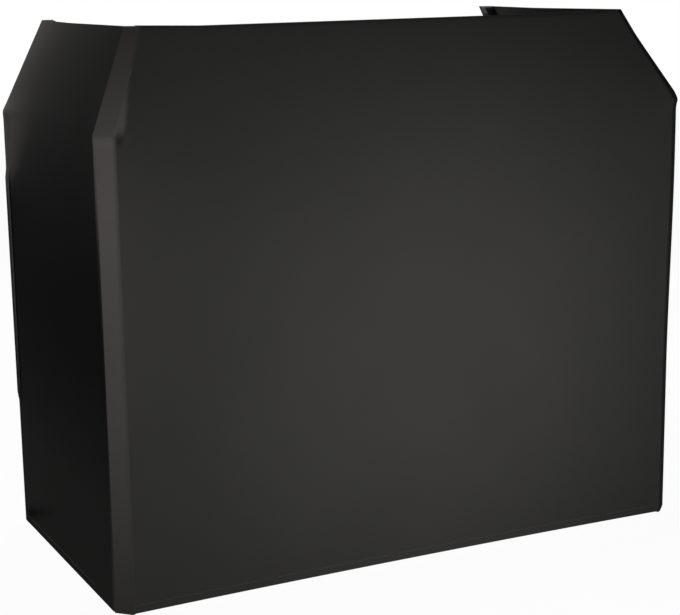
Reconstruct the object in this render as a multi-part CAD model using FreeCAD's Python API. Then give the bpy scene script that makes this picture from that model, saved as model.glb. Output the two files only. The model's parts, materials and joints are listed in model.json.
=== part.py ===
"""Free-standing DJ booth: a folding tube frame with a two-leaf table, dressed in a stretch-fabric cover.

Millimetres. X runs to the right, Y from the front to the back, Z up. The origin is on the floor, in the
middle of the booth. The left half of each symmetric piece is drawn, and the right half is its mirror image.
"""

import FreeCAD
import Part
import math
import os

Vector = FreeCAD.Vector

# Overall form
WIDTH = 1390.0
DEPTH = 680.0
HEIGHT = 1180.0
HOOD_HEIGHT = 200.0
HOOD_INSET = 102.0
HOOD_SETBACK = 88.0

# Cover
FABRIC = 1.5
HEM_HEIGHT = 4.0
SLACK_DROP = 660.0
TOP_FLAP_DROP = 28.0
TOP_FLAP_INSET = 40.0
TAPE = 1.0
TAPE_MARGIN = 3.0
REAR_TAB = 18.0
TAB_GAP = 12.0
STRAP = 1.2
STRAP_WIDTH = 25.0
STRAP_HEIGHT = 18.0

# Tubes
CORNER_TUBE_WIDTH = 45.0
CORNER_TUBE_TOP_WIDTH = 35.0
CORNER_TUBE_THICK = 20.0
TUBE = 25.0
TUBE_WALL = 1.8
TUBE_RADIUS = 2.5
SMALLEST_RADIUS = 0.5

# Tube ends
FOOT_HEIGHT = 12.0
FOOT_PLUG = 25.0
FOOT_CHAMFER = 1.5
CAP = 3.0
CAP_PLUG = 15.0
PLUG_CLEARANCE = 0.2

# Rail joints
END_PLATE = 4.0
END_PLATE_WIDTH = 38.0
END_PLATE_HEIGHT = 80.0
BOLT_PITCH = 54.0
TOP_BOLT_PITCH = 34.0
TOP_BOLT_DROP = 22.0
BOLT_RADIUS = 3.0
BOLT_LENGTH = 13.0
BOLT_HEAD_RADIUS = 5.5
BOLT_HEAD = 3.3
BOLT_SOCKET_RADIUS = 2.2
BOLT_SOCKET = 1.8
BOLT_CLEARANCE = 0.25
THREAD_CLEARANCE = 0.05
HOLE_OVERRUN = 1.0

# Heights of the table and the lower rails
TABLE_DROP = 330.0
LOWER_RAIL_HEIGHT = 312.0

# Table
TABLE_LENGTH = 1120.0
BOARD = 20.0
EDGING = 1.5
LEAF_GAP = 0.5
HINGE_GAP = 5.0

# Hinges
HINGE_PITCH = 450.0
HINGE_LENGTH = 60.0
HINGE_LEAF = 28.0
HINGE_PLATE = 2.0
HINGE_AXIS_RISE = 4.0
BARREL_RADIUS = 3.7
KNUCKLE = 15.0
KNUCKLE_GAP = 0.2
HINGE_PIN_RADIUS = 2.0
HINGE_PIN_HEAD_RADIUS = 3.0
HINGE_PIN_HEAD = 1.2
RUNNING_CLEARANCE = 0.05
MORTISE_CLEARANCE = 0.2
SCREW_RADIUS = 1.75
SCREW_HEAD_RADIUS = 3.5
SCREW_HEAD = 1.75
SCREW_LENGTH = 12.0
SCREW_PITCH = 20.0
SCREW_OFFSET = 17.5
SCREW_CLEARANCE = 0.04

# Stays
STAY_INSET = 90.0
STAY_WIDTH = 30.0
STAY_THICK = 5.0
STAY_GAP = 0.3
STAY_CLEARANCE = 5.0
STAY_PIN_RADIUS = 4.0
STAY_PIN_FIT = 0.02
STAY_PIN_RUNNING = 0.08
STAY_OPEN_PIVOT = 0.4
STAY_HEAD_RADIUS = 7.0
STAY_HEAD = 2.5
EAR = 3.0
EAR_MARGIN = 12.0
FLANGE = 30.0
BRACKET_SCREW_PITCH = 15.0

# Places that follow from the sizes above
FRONT = -DEPTH / 2
REAR = DEPTH / 2
LEFT = -WIDTH / 2
BEND_HEIGHT = HEIGHT - HOOD_HEIGHT
SLACK_HEIGHT = HEIGHT - SLACK_DROP
TABLE_TOP = HEIGHT - TABLE_DROP
TUBE_TOP = HEIGHT - FABRIC - CAP
DIAGONAL = math.sqrt(0.5)
ALONG_FACET = Vector(DIAGONAL, -DIAGONAL, 0)
INWARD = Vector(DIAGONAL, DIAGONAL, 0)

# The bevel's leg at the bend and at the top, and how far each edge of the cover leans per unit of height
MITRE = FABRIC * math.tan(math.radians(22.5))
FACET = (CORNER_TUBE_WIDTH + 2 * MITRE) * DIAGONAL
TOP_FACET = (CORNER_TUBE_TOP_WIDTH + 2 * MITRE) * DIAGONAL
TAPER = FACET - TOP_FACET
CORNER = Vector(LEFT + FACET / 2, FRONT + FACET / 2, 0) + INWARD * FABRIC
FRONT_LEAN = Vector(HOOD_INSET - TAPER / 2, HOOD_SETBACK - TAPER / 2, 0) / HOOD_HEIGHT
FRONT_EDGE_LEAN = Vector(HOOD_INSET - TAPER, HOOD_SETBACK, 0) / HOOD_HEIGHT
SIDE_EDGE_LEAN = Vector(HOOD_INSET, HOOD_SETBACK - TAPER, 0) / HOOD_HEIGHT
REAR_LEAN = Vector(HOOD_INSET, 0, 0) / HOOD_HEIGHT

RAIL_Y = CORNER.y + (CORNER_TUBE_THICK + END_PLATE) * DIAGONAL
POST_LEFT = LEFT + FABRIC
POST_INNER = POST_LEFT + TUBE
POST_REAR = REAR - FABRIC
POST_FRONT = POST_REAR - TUBE
REAR_RAIL_Y = POST_REAR - TUBE / 2

RAIL_TOP = TABLE_TOP - HINGE_PLATE
TABLE_RAIL_HEIGHT = RAIL_TOP - TUBE / 2
TOP_RAIL_HEIGHT = HEIGHT - FABRIC - TUBE / 2
TOP_RAIL_SHIFT = FRONT_LEAN * (TOP_RAIL_HEIGHT - BEND_HEIGHT)
TOP_RAIL_REAR = RAIL_Y + TOP_RAIL_SHIFT.y + TUBE / 2

FRONT_AXIS_Y = RAIL_Y + TUBE / 2 + HINGE_GAP
REAR_AXIS_Y = POST_FRONT - HINGE_GAP
CENTRE_AXIS_Y = (FRONT_AXIS_Y + REAR_AXIS_Y) / 2
END_AXIS_Z = RAIL_TOP + HINGE_AXIS_RISE
CENTRE_AXIS_Z = TABLE_TOP - BOARD - HINGE_AXIS_RISE
AXIS_DROP = END_AXIS_Z - CENTRE_AXIS_Z
HINGE_PLACES = (-HINGE_PITCH, 0.0, HINGE_PITCH)

LOWER_RAIL_TOP = LOWER_RAIL_HEIGHT + TUBE / 2
STAY_AXIS_Z = LOWER_RAIL_TOP + STAY_WIDTH / 2 + STAY_CLEARANCE
STAY_CENTRE_Z = STAY_AXIS_Z - AXIS_DROP
FRONT_EAR_X = LEFT + STAY_INSET
FRONT_STAY_X = FRONT_EAR_X + EAR + STAY_GAP
REAR_STAY_X = FRONT_STAY_X + STAY_THICK + STAY_GAP
REAR_EAR_X = REAR_STAY_X + STAY_THICK + STAY_GAP


# Drawing helpers

def block(x, y, z):
    """A box from three (low, high) spans."""
    shape = Part.makeBox(x[1] - x[0], y[1] - y[0], z[1] - z[0])
    shape.translate(Vector(x[0], y[0], z[0]))
    return shape


def span(middle, length):
    """The (low, high) span of a length about its middle."""
    return (middle - length / 2, middle + length / 2)


def mirrored(shape):
    """The same piece on the other side of the booth."""
    return shape.mirror(Vector(0, 0, 0), Vector(1, 0, 0))


def both_sides(shape):
    """A left piece and its right twin, as two separate solids."""
    return Part.makeCompound([shape, mirrored(shape)])


def rounded_outline(start, first, second, first_length, second_length, radius):
    """A rectangle with rounded corners, drawn anticlockwise from one corner along two directions."""
    corners = [
        start,
        start + first * first_length,
        start + first * first_length + second * second_length,
        start + second * second_length,
    ]
    headings = [first, second, first * -1, second * -1]
    bulge = radius * (1 - DIAGONAL)
    edges = []
    for i in range(4):
        corner = corners[(i + 1) % 4]
        heading = headings[i]
        turned = headings[(i + 1) % 4]
        arc_start = corner - heading * radius
        arc_middle = corner + (turned - heading) * bulge
        arc_end = corner + turned * radius
        edges.append(Part.LineSegment(corners[i] + heading * radius, arc_start).toShape())
        edges.append(Part.Arc(arc_start, arc_middle, arc_end).toShape())
    return Part.Wire(edges)


def section(start, first, second, first_length, second_length, inset=0.0):
    """A tube's solid outline, moved inwards by an inset."""
    radius = max(TUBE_RADIUS - inset, SMALLEST_RADIUS)
    corner = start + (first + second) * inset
    return Part.Face(rounded_outline(
        corner, first, second, first_length - 2 * inset, second_length - 2 * inset, radius))


def hollow(outline):
    """A tube's ring, from a function that draws its outline at a given inset."""
    return outline(0.0).cut(outline(TUBE_WALL)).Faces[0]


def corner_section(inset=0.0, width=CORNER_TUBE_WIDTH):
    """The flat tube at the front left corner, turned so that its wide face makes the bevel."""
    start = CORNER - ALONG_FACET * (width / 2)
    return section(start, ALONG_FACET, INWARD, width, CORNER_TUBE_THICK, inset)


def corner_top_section(inset=0.0):
    """The same tube where it has narrowed, at its top."""
    return corner_section(inset, CORNER_TUBE_TOP_WIDTH)


def post_section(inset=0.0):
    """The square tube at the rear left corner."""
    start = Vector(POST_LEFT, POST_FRONT, 0)
    return section(start, Vector(1, 0, 0), Vector(0, 1, 0), TUBE, TUBE, inset)


def outline_face(points):
    """A flat face from corner points in plan."""
    corners = [Vector(x, y, 0) for x, y in points]
    return Part.Face(Part.makePolygon(corners + corners[:1]))


def on_facet(along, inward):
    """A point in plan, measured from the middle of the corner tube's outer face."""
    return CORNER + ALONG_FACET * along + INWARD * inward


def facet_plate(half_width, near, far):
    """A rectangle in plan that lies parallel to the corner tube's wide face."""
    points = [
        on_facet(-half_width, near),
        on_facet(half_width, near),
        on_facet(half_width, far),
        on_facet(-half_width, far),
    ]
    return outline_face([(p.x, p.y) for p in points])


def rise(face, low, high, lean):
    """A plan outline carried up from one height to another, straight to the bend and leaning above it."""
    pieces = []
    if low < BEND_HEIGHT:
        straight = face.copy()
        straight.translate(Vector(0, 0, low))
        pieces.append(straight.extrude(Vector(0, 0, min(high, BEND_HEIGHT) - low)))
    if high > BEND_HEIGHT:
        start = max(low, BEND_HEIGHT)
        leaning = face.copy()
        leaning.translate(lean * (start - BEND_HEIGHT) + Vector(0, 0, start))
        pieces.append(leaning.extrude(lean * (high - start) + Vector(0, 0, high - start)))
    if len(pieces) == 1:
        return pieces[0]
    return pieces[0].fuse(pieces[1])


def folded_sheet(levels):
    """A closed solid between matching outlines, given from the lowest level to the highest."""
    faces = [Part.Face(Part.makePolygon(levels[0] + levels[0][:1]))]
    faces.append(Part.Face(Part.makePolygon(levels[-1] + levels[-1][:1])))
    for lower, upper in zip(levels, levels[1:]):
        for i in range(len(lower)):
            j = (i + 1) % len(lower)
            side = [lower[i], lower[j], upper[j], upper[i], lower[i]]
            faces.append(Part.Face(Part.makePolygon(side)))
    solid = Part.Solid(Part.Shell(faces))
    if solid.Volume < 0:
        solid.reverse()
    return solid


def rod(start, direction, radius, length):
    """A round bar from a point along a direction."""
    return Part.makeCylinder(radius, length, start, direction)


def button_bolt(seat, outward):
    """A socket bolt whose head sits on a seat and whose shank goes in against the outward direction."""
    shank = rod(seat, outward * -1, BOLT_RADIUS, BOLT_LENGTH)
    head = rod(seat, outward, BOLT_HEAD_RADIUS, BOLT_HEAD)
    socket = rod(seat + outward * (BOLT_HEAD - BOLT_SOCKET), outward, BOLT_SOCKET_RADIUS, BOLT_SOCKET)
    return shank.fuse(head).cut(socket)


def bolt_hole(seat, outward, clearance):
    """A round hole for that bolt's shank."""
    start = seat + outward * HOLE_OVERRUN
    return rod(start, outward * -1, BOLT_RADIUS + clearance, BOLT_LENGTH + 2 * HOLE_OVERRUN)


def countersunk_screw(top, downward, clearance=0.0):
    """A flat-headed screw, or with a clearance the hole that takes it."""
    radius = SCREW_RADIUS + clearance
    shank = rod(top, downward, radius, SCREW_LENGTH + clearance)
    head = Part.makeCone(SCREW_HEAD_RADIUS + clearance, radius, SCREW_HEAD, top, downward)
    return shank.fuse(head)


def group(shapes):
    """Separate solids that share one node."""
    return Part.makeCompound(shapes)


# Rail joints: where each bolt sits and which way its head faces

def corner_bolt_seat(height):
    """The seat on a plate against the corner tube's inner face, and its outward direction."""
    lean = FRONT_LEAN if height > BEND_HEIGHT else Vector(0, 0, 0)
    seat = on_facet(0, CORNER_TUBE_THICK + END_PLATE)
    seat = seat + lean * (height - BEND_HEIGHT) + Vector(0, 0, height)
    outward = Vector(DIAGONAL, DIAGONAL, -DIAGONAL * (lean.x + lean.y))
    return seat, outward.normalize()


def post_bolt_seat(height):
    """The seat on a plate against the rear post's inner face, and its outward direction."""
    return Vector(POST_INNER + END_PLATE, REAR_RAIL_Y, height), Vector(1, 0, 0)


def pair_heights(middle):
    """The heights of the two bolts above and below a rail."""
    return span(middle, BOLT_PITCH)


TOP_PLATE_HIGH = TOP_RAIL_HEIGHT + TUBE / 2 - TUBE_RADIUS
TOP_BOLT_HIGH = TOP_RAIL_HEIGHT - TUBE / 2 - TOP_BOLT_DROP
TOP_BOLT_LOW = TOP_BOLT_HIGH - TOP_BOLT_PITCH
TOP_PLATE_LOW = TOP_BOLT_LOW - (END_PLATE_HEIGHT - BOLT_PITCH) / 2
FRONT_BOLT_HEIGHTS = [
    *pair_heights(LOWER_RAIL_HEIGHT),
    *pair_heights(TABLE_RAIL_HEIGHT),
    TOP_BOLT_LOW,
    TOP_BOLT_HIGH,
]
REAR_BOLT_HEIGHTS = [*pair_heights(LOWER_RAIL_HEIGHT), *pair_heights(TABLE_RAIL_HEIGHT)]


# Uprights, their feet and caps

def hood_tube(inset):
    """The corner tube's leaning length as a solid bar that narrows towards its top."""
    bend_wire = corner_section(inset).OuterWire
    bend_wire.translate(Vector(0, 0, BEND_HEIGHT))
    top_wire = corner_top_section(inset).OuterWire
    top_wire.translate(FRONT_LEAN * (TUBE_TOP - BEND_HEIGHT) + Vector(0, 0, TUBE_TOP))
    return Part.makeLoft([bend_wire, top_wire], True, True)


def front_upright():
    straight = rise(hollow(corner_section), FOOT_HEIGHT, BEND_HEIGHT, FRONT_LEAN)
    shape = straight.fuse(hood_tube(0.0).cut(hood_tube(TUBE_WALL)))
    holes = []
    for height in FRONT_BOLT_HEIGHTS:
        holes.append(bolt_hole(*corner_bolt_seat(height), THREAD_CLEARANCE))
    return shape.cut(holes)


def rear_upright():
    shape = rise(hollow(post_section), FOOT_HEIGHT, TUBE_TOP, REAR_LEAN)
    holes = []
    for height in REAR_BOLT_HEIGHTS:
        holes.append(bolt_hole(*post_bolt_seat(height), THREAD_CLEARANCE))
    return shape.cut(holes)


def foot(outline):
    """A glide under a tube, with a plug that goes up inside it."""
    base = outline(0.0).extrude(Vector(0, 0, FOOT_HEIGHT))
    lower_edges = [e for e in base.Edges if e.BoundBox.ZMax < FOOT_HEIGHT / 2]
    base = base.makeChamfer(FOOT_CHAMFER, lower_edges)
    plug = outline(TUBE_WALL + PLUG_CLEARANCE).extrude(Vector(0, 0, FOOT_HEIGHT + FOOT_PLUG))
    upper = block((LEFT, -LEFT), (FRONT, REAR), (FOOT_HEIGHT, 2 * FOOT_HEIGHT + FOOT_PLUG))
    return base.fuse(plug.common(upper))


def cap(outline, lean):
    """A flat cap on a tube's leaning top, with a plug that goes down inside it."""
    lid = rise(outline(0.0), TUBE_TOP, TUBE_TOP + CAP, lean)
    plug = rise(outline(TUBE_WALL + PLUG_CLEARANCE), TUBE_TOP - CAP_PLUG, TUBE_TOP, lean)
    return lid.fuse(plug)


# Rails

def rail_tube(left, right, y, z):
    """A level square tube."""
    def outline(inset):
        start = Vector(left, y - TUBE / 2, z - TUBE / 2)
        return section(start, Vector(0, 1, 0), Vector(0, 0, 1), TUBE, TUBE, inset)
    return hollow(outline).extrude(Vector(right - left, 0, 0))


def front_rail(height, plate_low, plate_high, bolt_heights):
    """A rail between the corner uprights, with a plate on each end that is bolted to the inner face."""
    shift = FRONT_LEAN * max(height - BEND_HEIGHT, 0)
    start = CORNER.x + shift.x - TUBE
    tube = rail_tube(start, -start, RAIL_Y + shift.y, height)
    reach = 2 * (CORNER_TUBE_WIDTH + TUBE)
    beyond = rise(facet_plate(reach, -reach, CORNER_TUBE_THICK + END_PLATE), 0, HEIGHT, FRONT_LEAN)
    tube = tube.cut(beyond).cut(mirrored(beyond))
    plate = facet_plate(END_PLATE_WIDTH / 2, CORNER_TUBE_THICK, CORNER_TUBE_THICK + END_PLATE)
    plate = rise(plate, plate_low, plate_high, FRONT_LEAN)
    plate = plate.cut([bolt_hole(*corner_bolt_seat(h), BOLT_CLEARANCE) for h in bolt_heights])
    return tube.fuse([plate, mirrored(plate)])


def plain_front_rail(height):
    low, high = span(height, END_PLATE_HEIGHT)
    return front_rail(height, low, high, pair_heights(height))


def rear_rail(height):
    """A rail between the rear posts, with a bolted plate on each end."""
    start = POST_INNER + END_PLATE
    tube = rail_tube(start, -start, REAR_RAIL_Y, height)
    plate = block((POST_INNER, start), (POST_FRONT, POST_REAR), span(height, END_PLATE_HEIGHT))
    plate = plate.cut([bolt_hole(*post_bolt_seat(h), BOLT_CLEARANCE) for h in pair_heights(height)])
    return tube.fuse([plate, mirrored(plate)])


# Hinges, drawn about their own axis: the axis lies along X and a leaf runs towards +Y

OUTER_KNUCKLES = [
    (-HINGE_LENGTH / 2, -HINGE_LENGTH / 2 + KNUCKLE),
    (HINGE_LENGTH / 2 - KNUCKLE, HINGE_LENGTH / 2),
]
INNER_KNUCKLES = [
    (-HINGE_LENGTH / 2 + KNUCKLE + KNUCKLE_GAP, HINGE_LENGTH / 2 - KNUCKLE - KNUCKLE_GAP),
]
LEAF_TOP = HINGE_PLATE - HINGE_AXIS_RISE
SCREW_PLACES = [Vector(x, SCREW_OFFSET, LEAF_TOP) for x in (-SCREW_PITCH, 0, SCREW_PITCH)]


def hinge_leaf(knuckles):
    thickness = (-HINGE_AXIS_RISE, LEAF_TOP)
    leaf = block(span(0, HINGE_LENGTH), (HINGE_GAP, HINGE_LEAF), thickness)
    barrels = []
    for low, high in knuckles:
        barrels.append(rod(Vector(low, 0, 0), Vector(1, 0, 0), BARREL_RADIUS, high - low))
        barrels.append(block((low, high), (0, HINGE_GAP), thickness))
    bore_radius = HINGE_PIN_RADIUS + RUNNING_CLEARANCE
    bore = rod(Vector(-HINGE_LENGTH, 0, 0), Vector(1, 0, 0), bore_radius, 2 * HINGE_LENGTH)
    holes = [countersunk_screw(p, Vector(0, 0, -1), SCREW_CLEARANCE) for p in SCREW_PLACES]
    return leaf.fuse(barrels).cut([bore] + holes)


def hinge_pin():
    shank = rod(Vector(-HINGE_LENGTH / 2, 0, 0), Vector(1, 0, 0), HINGE_PIN_RADIUS, HINGE_LENGTH)
    heads = []
    for side in (-1, 1):
        start = Vector(side * HINGE_LENGTH / 2, 0, 0)
        heads.append(rod(start, Vector(side, 0, 0), HINGE_PIN_HEAD_RADIUS, HINGE_PIN_HEAD))
    return shank.fuse(heads)


def leaf_screws(clearance=0.0):
    return group([countersunk_screw(p, Vector(0, 0, -1), clearance) for p in SCREW_PLACES])


TO_BACK = FreeCAD.Rotation()
TO_FRONT = FreeCAD.Rotation(Vector(0, 0, 1), 180)
BELOW_TO_BACK = FreeCAD.Rotation(Vector(0, 1, 0), 180)
BELOW_TO_FRONT = FreeCAD.Rotation(Vector(1, 0, 0), 180)


def at_hinges(shape, y, z, turn):
    """Copies of a hinge piece at every hinge along one axis."""
    copies = []
    for x in HINGE_PLACES:
        copy = shape.copy()
        copy.Placement = FreeCAD.Placement(Vector(x, y, z), turn)
        copies.extend(copy.Solids)
    return copies


FRONT_AXIS = (FRONT_AXIS_Y, END_AXIS_Z)
CENTRE_AXIS = (CENTRE_AXIS_Y, CENTRE_AXIS_Z)
REAR_AXIS = (REAR_AXIS_Y, END_AXIS_Z)


# Table

def table_leaf(front, rear, top_hinges, under_hinges):
    """One leaf's board and its edging, with mortises and screw holes for its hinges."""
    height = (TABLE_TOP - BOARD, TABLE_TOP)
    whole = block(span(0, TABLE_LENGTH), (front, rear), height)
    core_length = TABLE_LENGTH - 2 * EDGING
    core = block(span(0, core_length), (front + EDGING, rear - EDGING), height)
    cuts = []
    axis, turn = top_hinges
    width = HINGE_LENGTH + 2 * MORTISE_CLEARANCE
    depth = (TABLE_TOP - HINGE_PLATE, TABLE_TOP + HINGE_PLATE)
    for x in HINGE_PLACES:
        mortise = span(axis[0], 2 * (HINGE_LEAF + MORTISE_CLEARANCE))
        cuts.append(block(span(x, width), mortise, depth))
    cuts.extend(at_hinges(leaf_screws(SCREW_CLEARANCE), *axis, turn))
    axis, turn = under_hinges
    cuts.extend(at_hinges(leaf_screws(SCREW_CLEARANCE), *axis, turn))
    return core.cut(cuts), whole.cut(core).cut(cuts)


# Stays

def stay_bar(end, centre, x, end_clearance, centre_clearance):
    """A flat bar with round ends between two pivots, given as (y, z)."""
    start = Vector(x, *end)
    finish = Vector(x, *centre)
    heading = (finish - start).normalize()
    across = Vector(0, -heading.z, heading.y) * (STAY_WIDTH / 2)
    beyond = heading * (STAY_WIDTH / 2)
    edges = [
        Part.LineSegment(start - across, finish - across).toShape(),
        Part.Arc(finish - across, finish + beyond, finish + across).toShape(),
        Part.LineSegment(finish + across, start + across).toShape(),
        Part.Arc(start + across, start - beyond, start - across).toShape(),
    ]
    bar = Part.Face(Part.Wire(edges)).extrude(Vector(STAY_THICK, 0, 0))
    holes = []
    for pivot, clearance in ((start, end_clearance), (finish, centre_clearance)):
        hole_start = pivot - Vector(STAY_THICK, 0, 0)
        holes.append(rod(hole_start, Vector(1, 0, 0), STAY_PIN_RADIUS + clearance, 3 * STAY_THICK))
    return bar.cut(holes)


def stay_rivet(y, z, left, right):
    """A pivot rivet through a stack of plates, with a running gap under its right head."""
    shank = rod(Vector(left, y, z), Vector(1, 0, 0), STAY_PIN_RADIUS, right - left)
    left_head = rod(Vector(left - STAY_HEAD, y, z), Vector(1, 0, 0), STAY_HEAD_RADIUS, STAY_HEAD)
    right_head = rod(Vector(right, y, z), Vector(1, 0, 0), STAY_HEAD_RADIUS, STAY_HEAD)
    return shank.fuse([left_head, right_head])


def stay_bracket(ear_x, axis_y, rail_y, outward):
    """An angle bracket on top of a lower rail: a flange with two screws, and an ear that holds the pivot."""
    ear_y = sorted((rail_y, axis_y + math.copysign(EAR_MARGIN, axis_y - rail_y)))
    ear = block((ear_x, ear_x + EAR), ear_y, (LOWER_RAIL_TOP, STAY_AXIS_Z + EAR_MARGIN))
    flange_x = (ear_x + EAR - FLANGE, ear_x + EAR) if outward else (ear_x, ear_x + FLANGE)
    flange_y = span(rail_y, TUBE - 2 * TUBE_RADIUS)
    flange = block(flange_x, flange_y, (LOWER_RAIL_TOP, LOWER_RAIL_TOP + EAR))
    hole_start = Vector(ear_x - EAR, axis_y, STAY_AXIS_Z)
    hole = rod(hole_start, Vector(1, 0, 0), STAY_PIN_RADIUS + STAY_PIN_FIT, 3 * EAR)
    places = bracket_screw_places(ear_x, rail_y, outward)
    holes = [countersunk_screw(p, Vector(0, 0, -1), SCREW_CLEARANCE) for p in places]
    return ear.fuse(flange).cut([hole] + holes)


def bracket_screw_places(ear_x, rail_y, outward):
    """The tops of the two screws in a bracket's flange."""
    middle = ear_x + EAR - (FLANGE + EAR) / 2 if outward else ear_x + (FLANGE + EAR) / 2
    top = LOWER_RAIL_TOP + EAR
    return [Vector(x, rail_y, top) for x in span(middle, BRACKET_SCREW_PITCH)]


FRONT_BRACKET_SCREWS = bracket_screw_places(FRONT_EAR_X, RAIL_Y, True)
REAR_BRACKET_SCREWS = bracket_screw_places(REAR_EAR_X, REAR_RAIL_Y, False)


def bracket_screws(places, clearance=0.0):
    """Both brackets' screws, or their holes, as separate solids."""
    left = [countersunk_screw(p, Vector(0, 0, -1), clearance) for p in places]
    return left + [mirrored(s) for s in left]


# Cover

TOP_FLAP_SPAN = span(0, WIDTH - 2 * (HOOD_INSET + TOP_FACET + TOP_FLAP_INSET))
SKIN_STEPS = 10
SKIN_LEVELS = 3
LEAN_POWER = 3
GRIP_POWER = 4


def at_height(points, leans, height):
    """Plan points carried up to a height, each leaning its own way above the bend."""
    lift = max(height - BEND_HEIGHT, 0)
    return [Vector(x, y, height) + lean * lift for (x, y), lean in zip(points, leans)]


def slack(height):
    """How much further than the tubes a panel's middle leans, as a share of the hood's whole lean."""
    loose = (height - SLACK_HEIGHT) / SLACK_DROP
    return loose ** LEAN_POWER - max(height - BEND_HEIGHT, 0) / HOOD_HEIGHT


def skin_line(start, end, sag):
    """A smooth line from tube to tube, which sags between them and follows them at its ends."""
    points = []
    for i in range(SKIN_STEPS + 1):
        across = 2 * i / SKIN_STEPS - 1
        place = (start + end) / 2 + (end - start) * (across / 2)
        points.append(place + sag * (1 - across ** GRIP_POWER))
    curve = Part.BSplineCurve()
    curve.interpolate(points)
    return curve.toShape()


def skin_section(corners, sag):
    """A panel's closed outline at one height, from its two outer and its two inner corners."""
    first, last, inner_last, inner_first = corners
    return Part.Wire([
        skin_line(first, last, sag),
        Part.LineSegment(last, inner_last).toShape(),
        skin_line(inner_last, inner_first, sag),
        Part.LineSegment(inner_first, first).toShape(),
    ])


def skin_panel(points, leans, inward):
    """A stretched panel: flat at the bottom, then curving in to the bend and on to the top."""
    flat = folded_sheet([at_height(points, leans, height) for height in (HEM_HEIGHT, SLACK_HEIGHT)])
    curved = []
    for low, high in ((SLACK_HEIGHT, BEND_HEIGHT), (BEND_HEIGHT, HEIGHT)):
        outlines = []
        for i in range(SKIN_LEVELS + 1):
            height = low + (high - low) * i / SKIN_LEVELS
            outlines.append(skin_section(at_height(points, leans, height), inward * slack(height)))
        curved.append(Part.makeLoft(outlines, True))
    return flat.fuse(curved)


def corner_strip():
    """The flat strip of cloth over the front left corner tube."""
    points = [
        (LEFT, FRONT + FACET),
        (LEFT + FACET, FRONT),
        (LEFT + FACET + MITRE, FRONT + FABRIC),
        (LEFT + FABRIC, FRONT + FACET + MITRE),
    ]
    leans = [SIDE_EDGE_LEAN, FRONT_EDGE_LEAN, FRONT_EDGE_LEAN, SIDE_EDGE_LEAN]
    return folded_sheet([at_height(points, leans, h) for h in (HEM_HEIGHT, BEND_HEIGHT, HEIGHT)])


def front_scrim():
    """The front panel with a bevelled strip at each corner, folded over the top rail."""
    left = [(LEFT + FACET, FRONT), (LEFT + FACET + MITRE, FRONT + FABRIC)]
    right = [(-x, y) for x, y in left]
    right_lean = Vector(-FRONT_EDGE_LEAN.x, FRONT_EDGE_LEAN.y, 0)
    panel = skin_panel(
        [left[0], right[0], right[1], left[1]],
        [FRONT_EDGE_LEAN, right_lean, right_lean, FRONT_EDGE_LEAN],
        Vector(0, HOOD_SETBACK, 0))
    flap_front = TOP_RAIL_REAR + TAPE
    flap_rear = flap_front + FABRIC
    over = block(TOP_FLAP_SPAN, (FRONT + HOOD_SETBACK, flap_rear), (HEIGHT - FABRIC, HEIGHT))
    down = block(TOP_FLAP_SPAN, (flap_front, flap_rear), (HEIGHT - TOP_FLAP_DROP, HEIGHT))
    return panel.fuse([corner_strip(), mirrored(corner_strip()), over, down])


def top_hook_tape():
    """Hook tape on the back of the top rail, which holds the front panel's flap."""
    low = max(HEIGHT - TOP_FLAP_DROP, TOP_RAIL_HEIGHT - TUBE / 2) + TAPE_MARGIN
    high = HEIGHT - FABRIC - TAPE_MARGIN
    return block(TOP_FLAP_SPAN, (TOP_RAIL_REAR, TOP_RAIL_REAR + TAPE), (low, high))


def side_scrim():
    """The left side panel, from the corner strip to the rear post."""
    points = [
        (LEFT, FRONT + FACET),
        (LEFT, POST_FRONT),
        (LEFT + FABRIC, POST_FRONT),
        (LEFT + FABRIC, FRONT + FACET + MITRE),
    ]
    leans = [SIDE_EDGE_LEAN, REAR_LEAN, REAR_LEAN, SIDE_EDGE_LEAN]
    return skin_panel(points, leans, Vector(HOOD_INSET, 0, 0))


TAB_REACH = END_PLATE_HEIGHT / 2 + TAB_GAP
TAB_SPANS = [
    (FOOT_HEIGHT, LOWER_RAIL_HEIGHT - TAB_REACH),
    (LOWER_RAIL_HEIGHT + TAB_REACH, TABLE_RAIL_HEIGHT - TAB_REACH),
    (TABLE_RAIL_HEIGHT + TAB_REACH, TUBE_TOP - TAB_GAP),
]


def rear_flap():
    """The side panel's rear edge, folded round the post, with tabs on its inner face between the rails."""
    inner = POST_INNER + TAPE + FABRIC
    wrap = outline_face([
        (LEFT, POST_FRONT),
        (LEFT + FABRIC, POST_FRONT),
        (LEFT + FABRIC, POST_REAR),
        (inner, POST_REAR),
        (inner, REAR),
        (LEFT, REAR),
    ])
    tab = outline_face([
        (inner - FABRIC, POST_REAR - REAR_TAB),
        (inner, POST_REAR - REAR_TAB),
        (inner, POST_REAR),
        (inner - FABRIC, POST_REAR),
    ])
    shape = rise(wrap, HEM_HEIGHT, HEIGHT, REAR_LEAN)
    return shape.fuse([rise(tab, low, high, REAR_LEAN) for low, high in TAB_SPANS])


def rear_hook_tape():
    """Hook tape on the rear post's inner face, under each tab."""
    strip = outline_face([
        (POST_INNER, POST_REAR - REAR_TAB),
        (POST_INNER + TAPE, POST_REAR - REAR_TAB),
        (POST_INNER + TAPE, POST_REAR - TAPE_MARGIN),
        (POST_INNER, POST_REAR - TAPE_MARGIN),
    ])
    strips = [rise(strip, low + TAPE_MARGIN, high - TAPE_MARGIN, REAR_LEAN) for low, high in TAB_SPANS]
    return group([solid for shape in strips for solid in shape.Solids])


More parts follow.
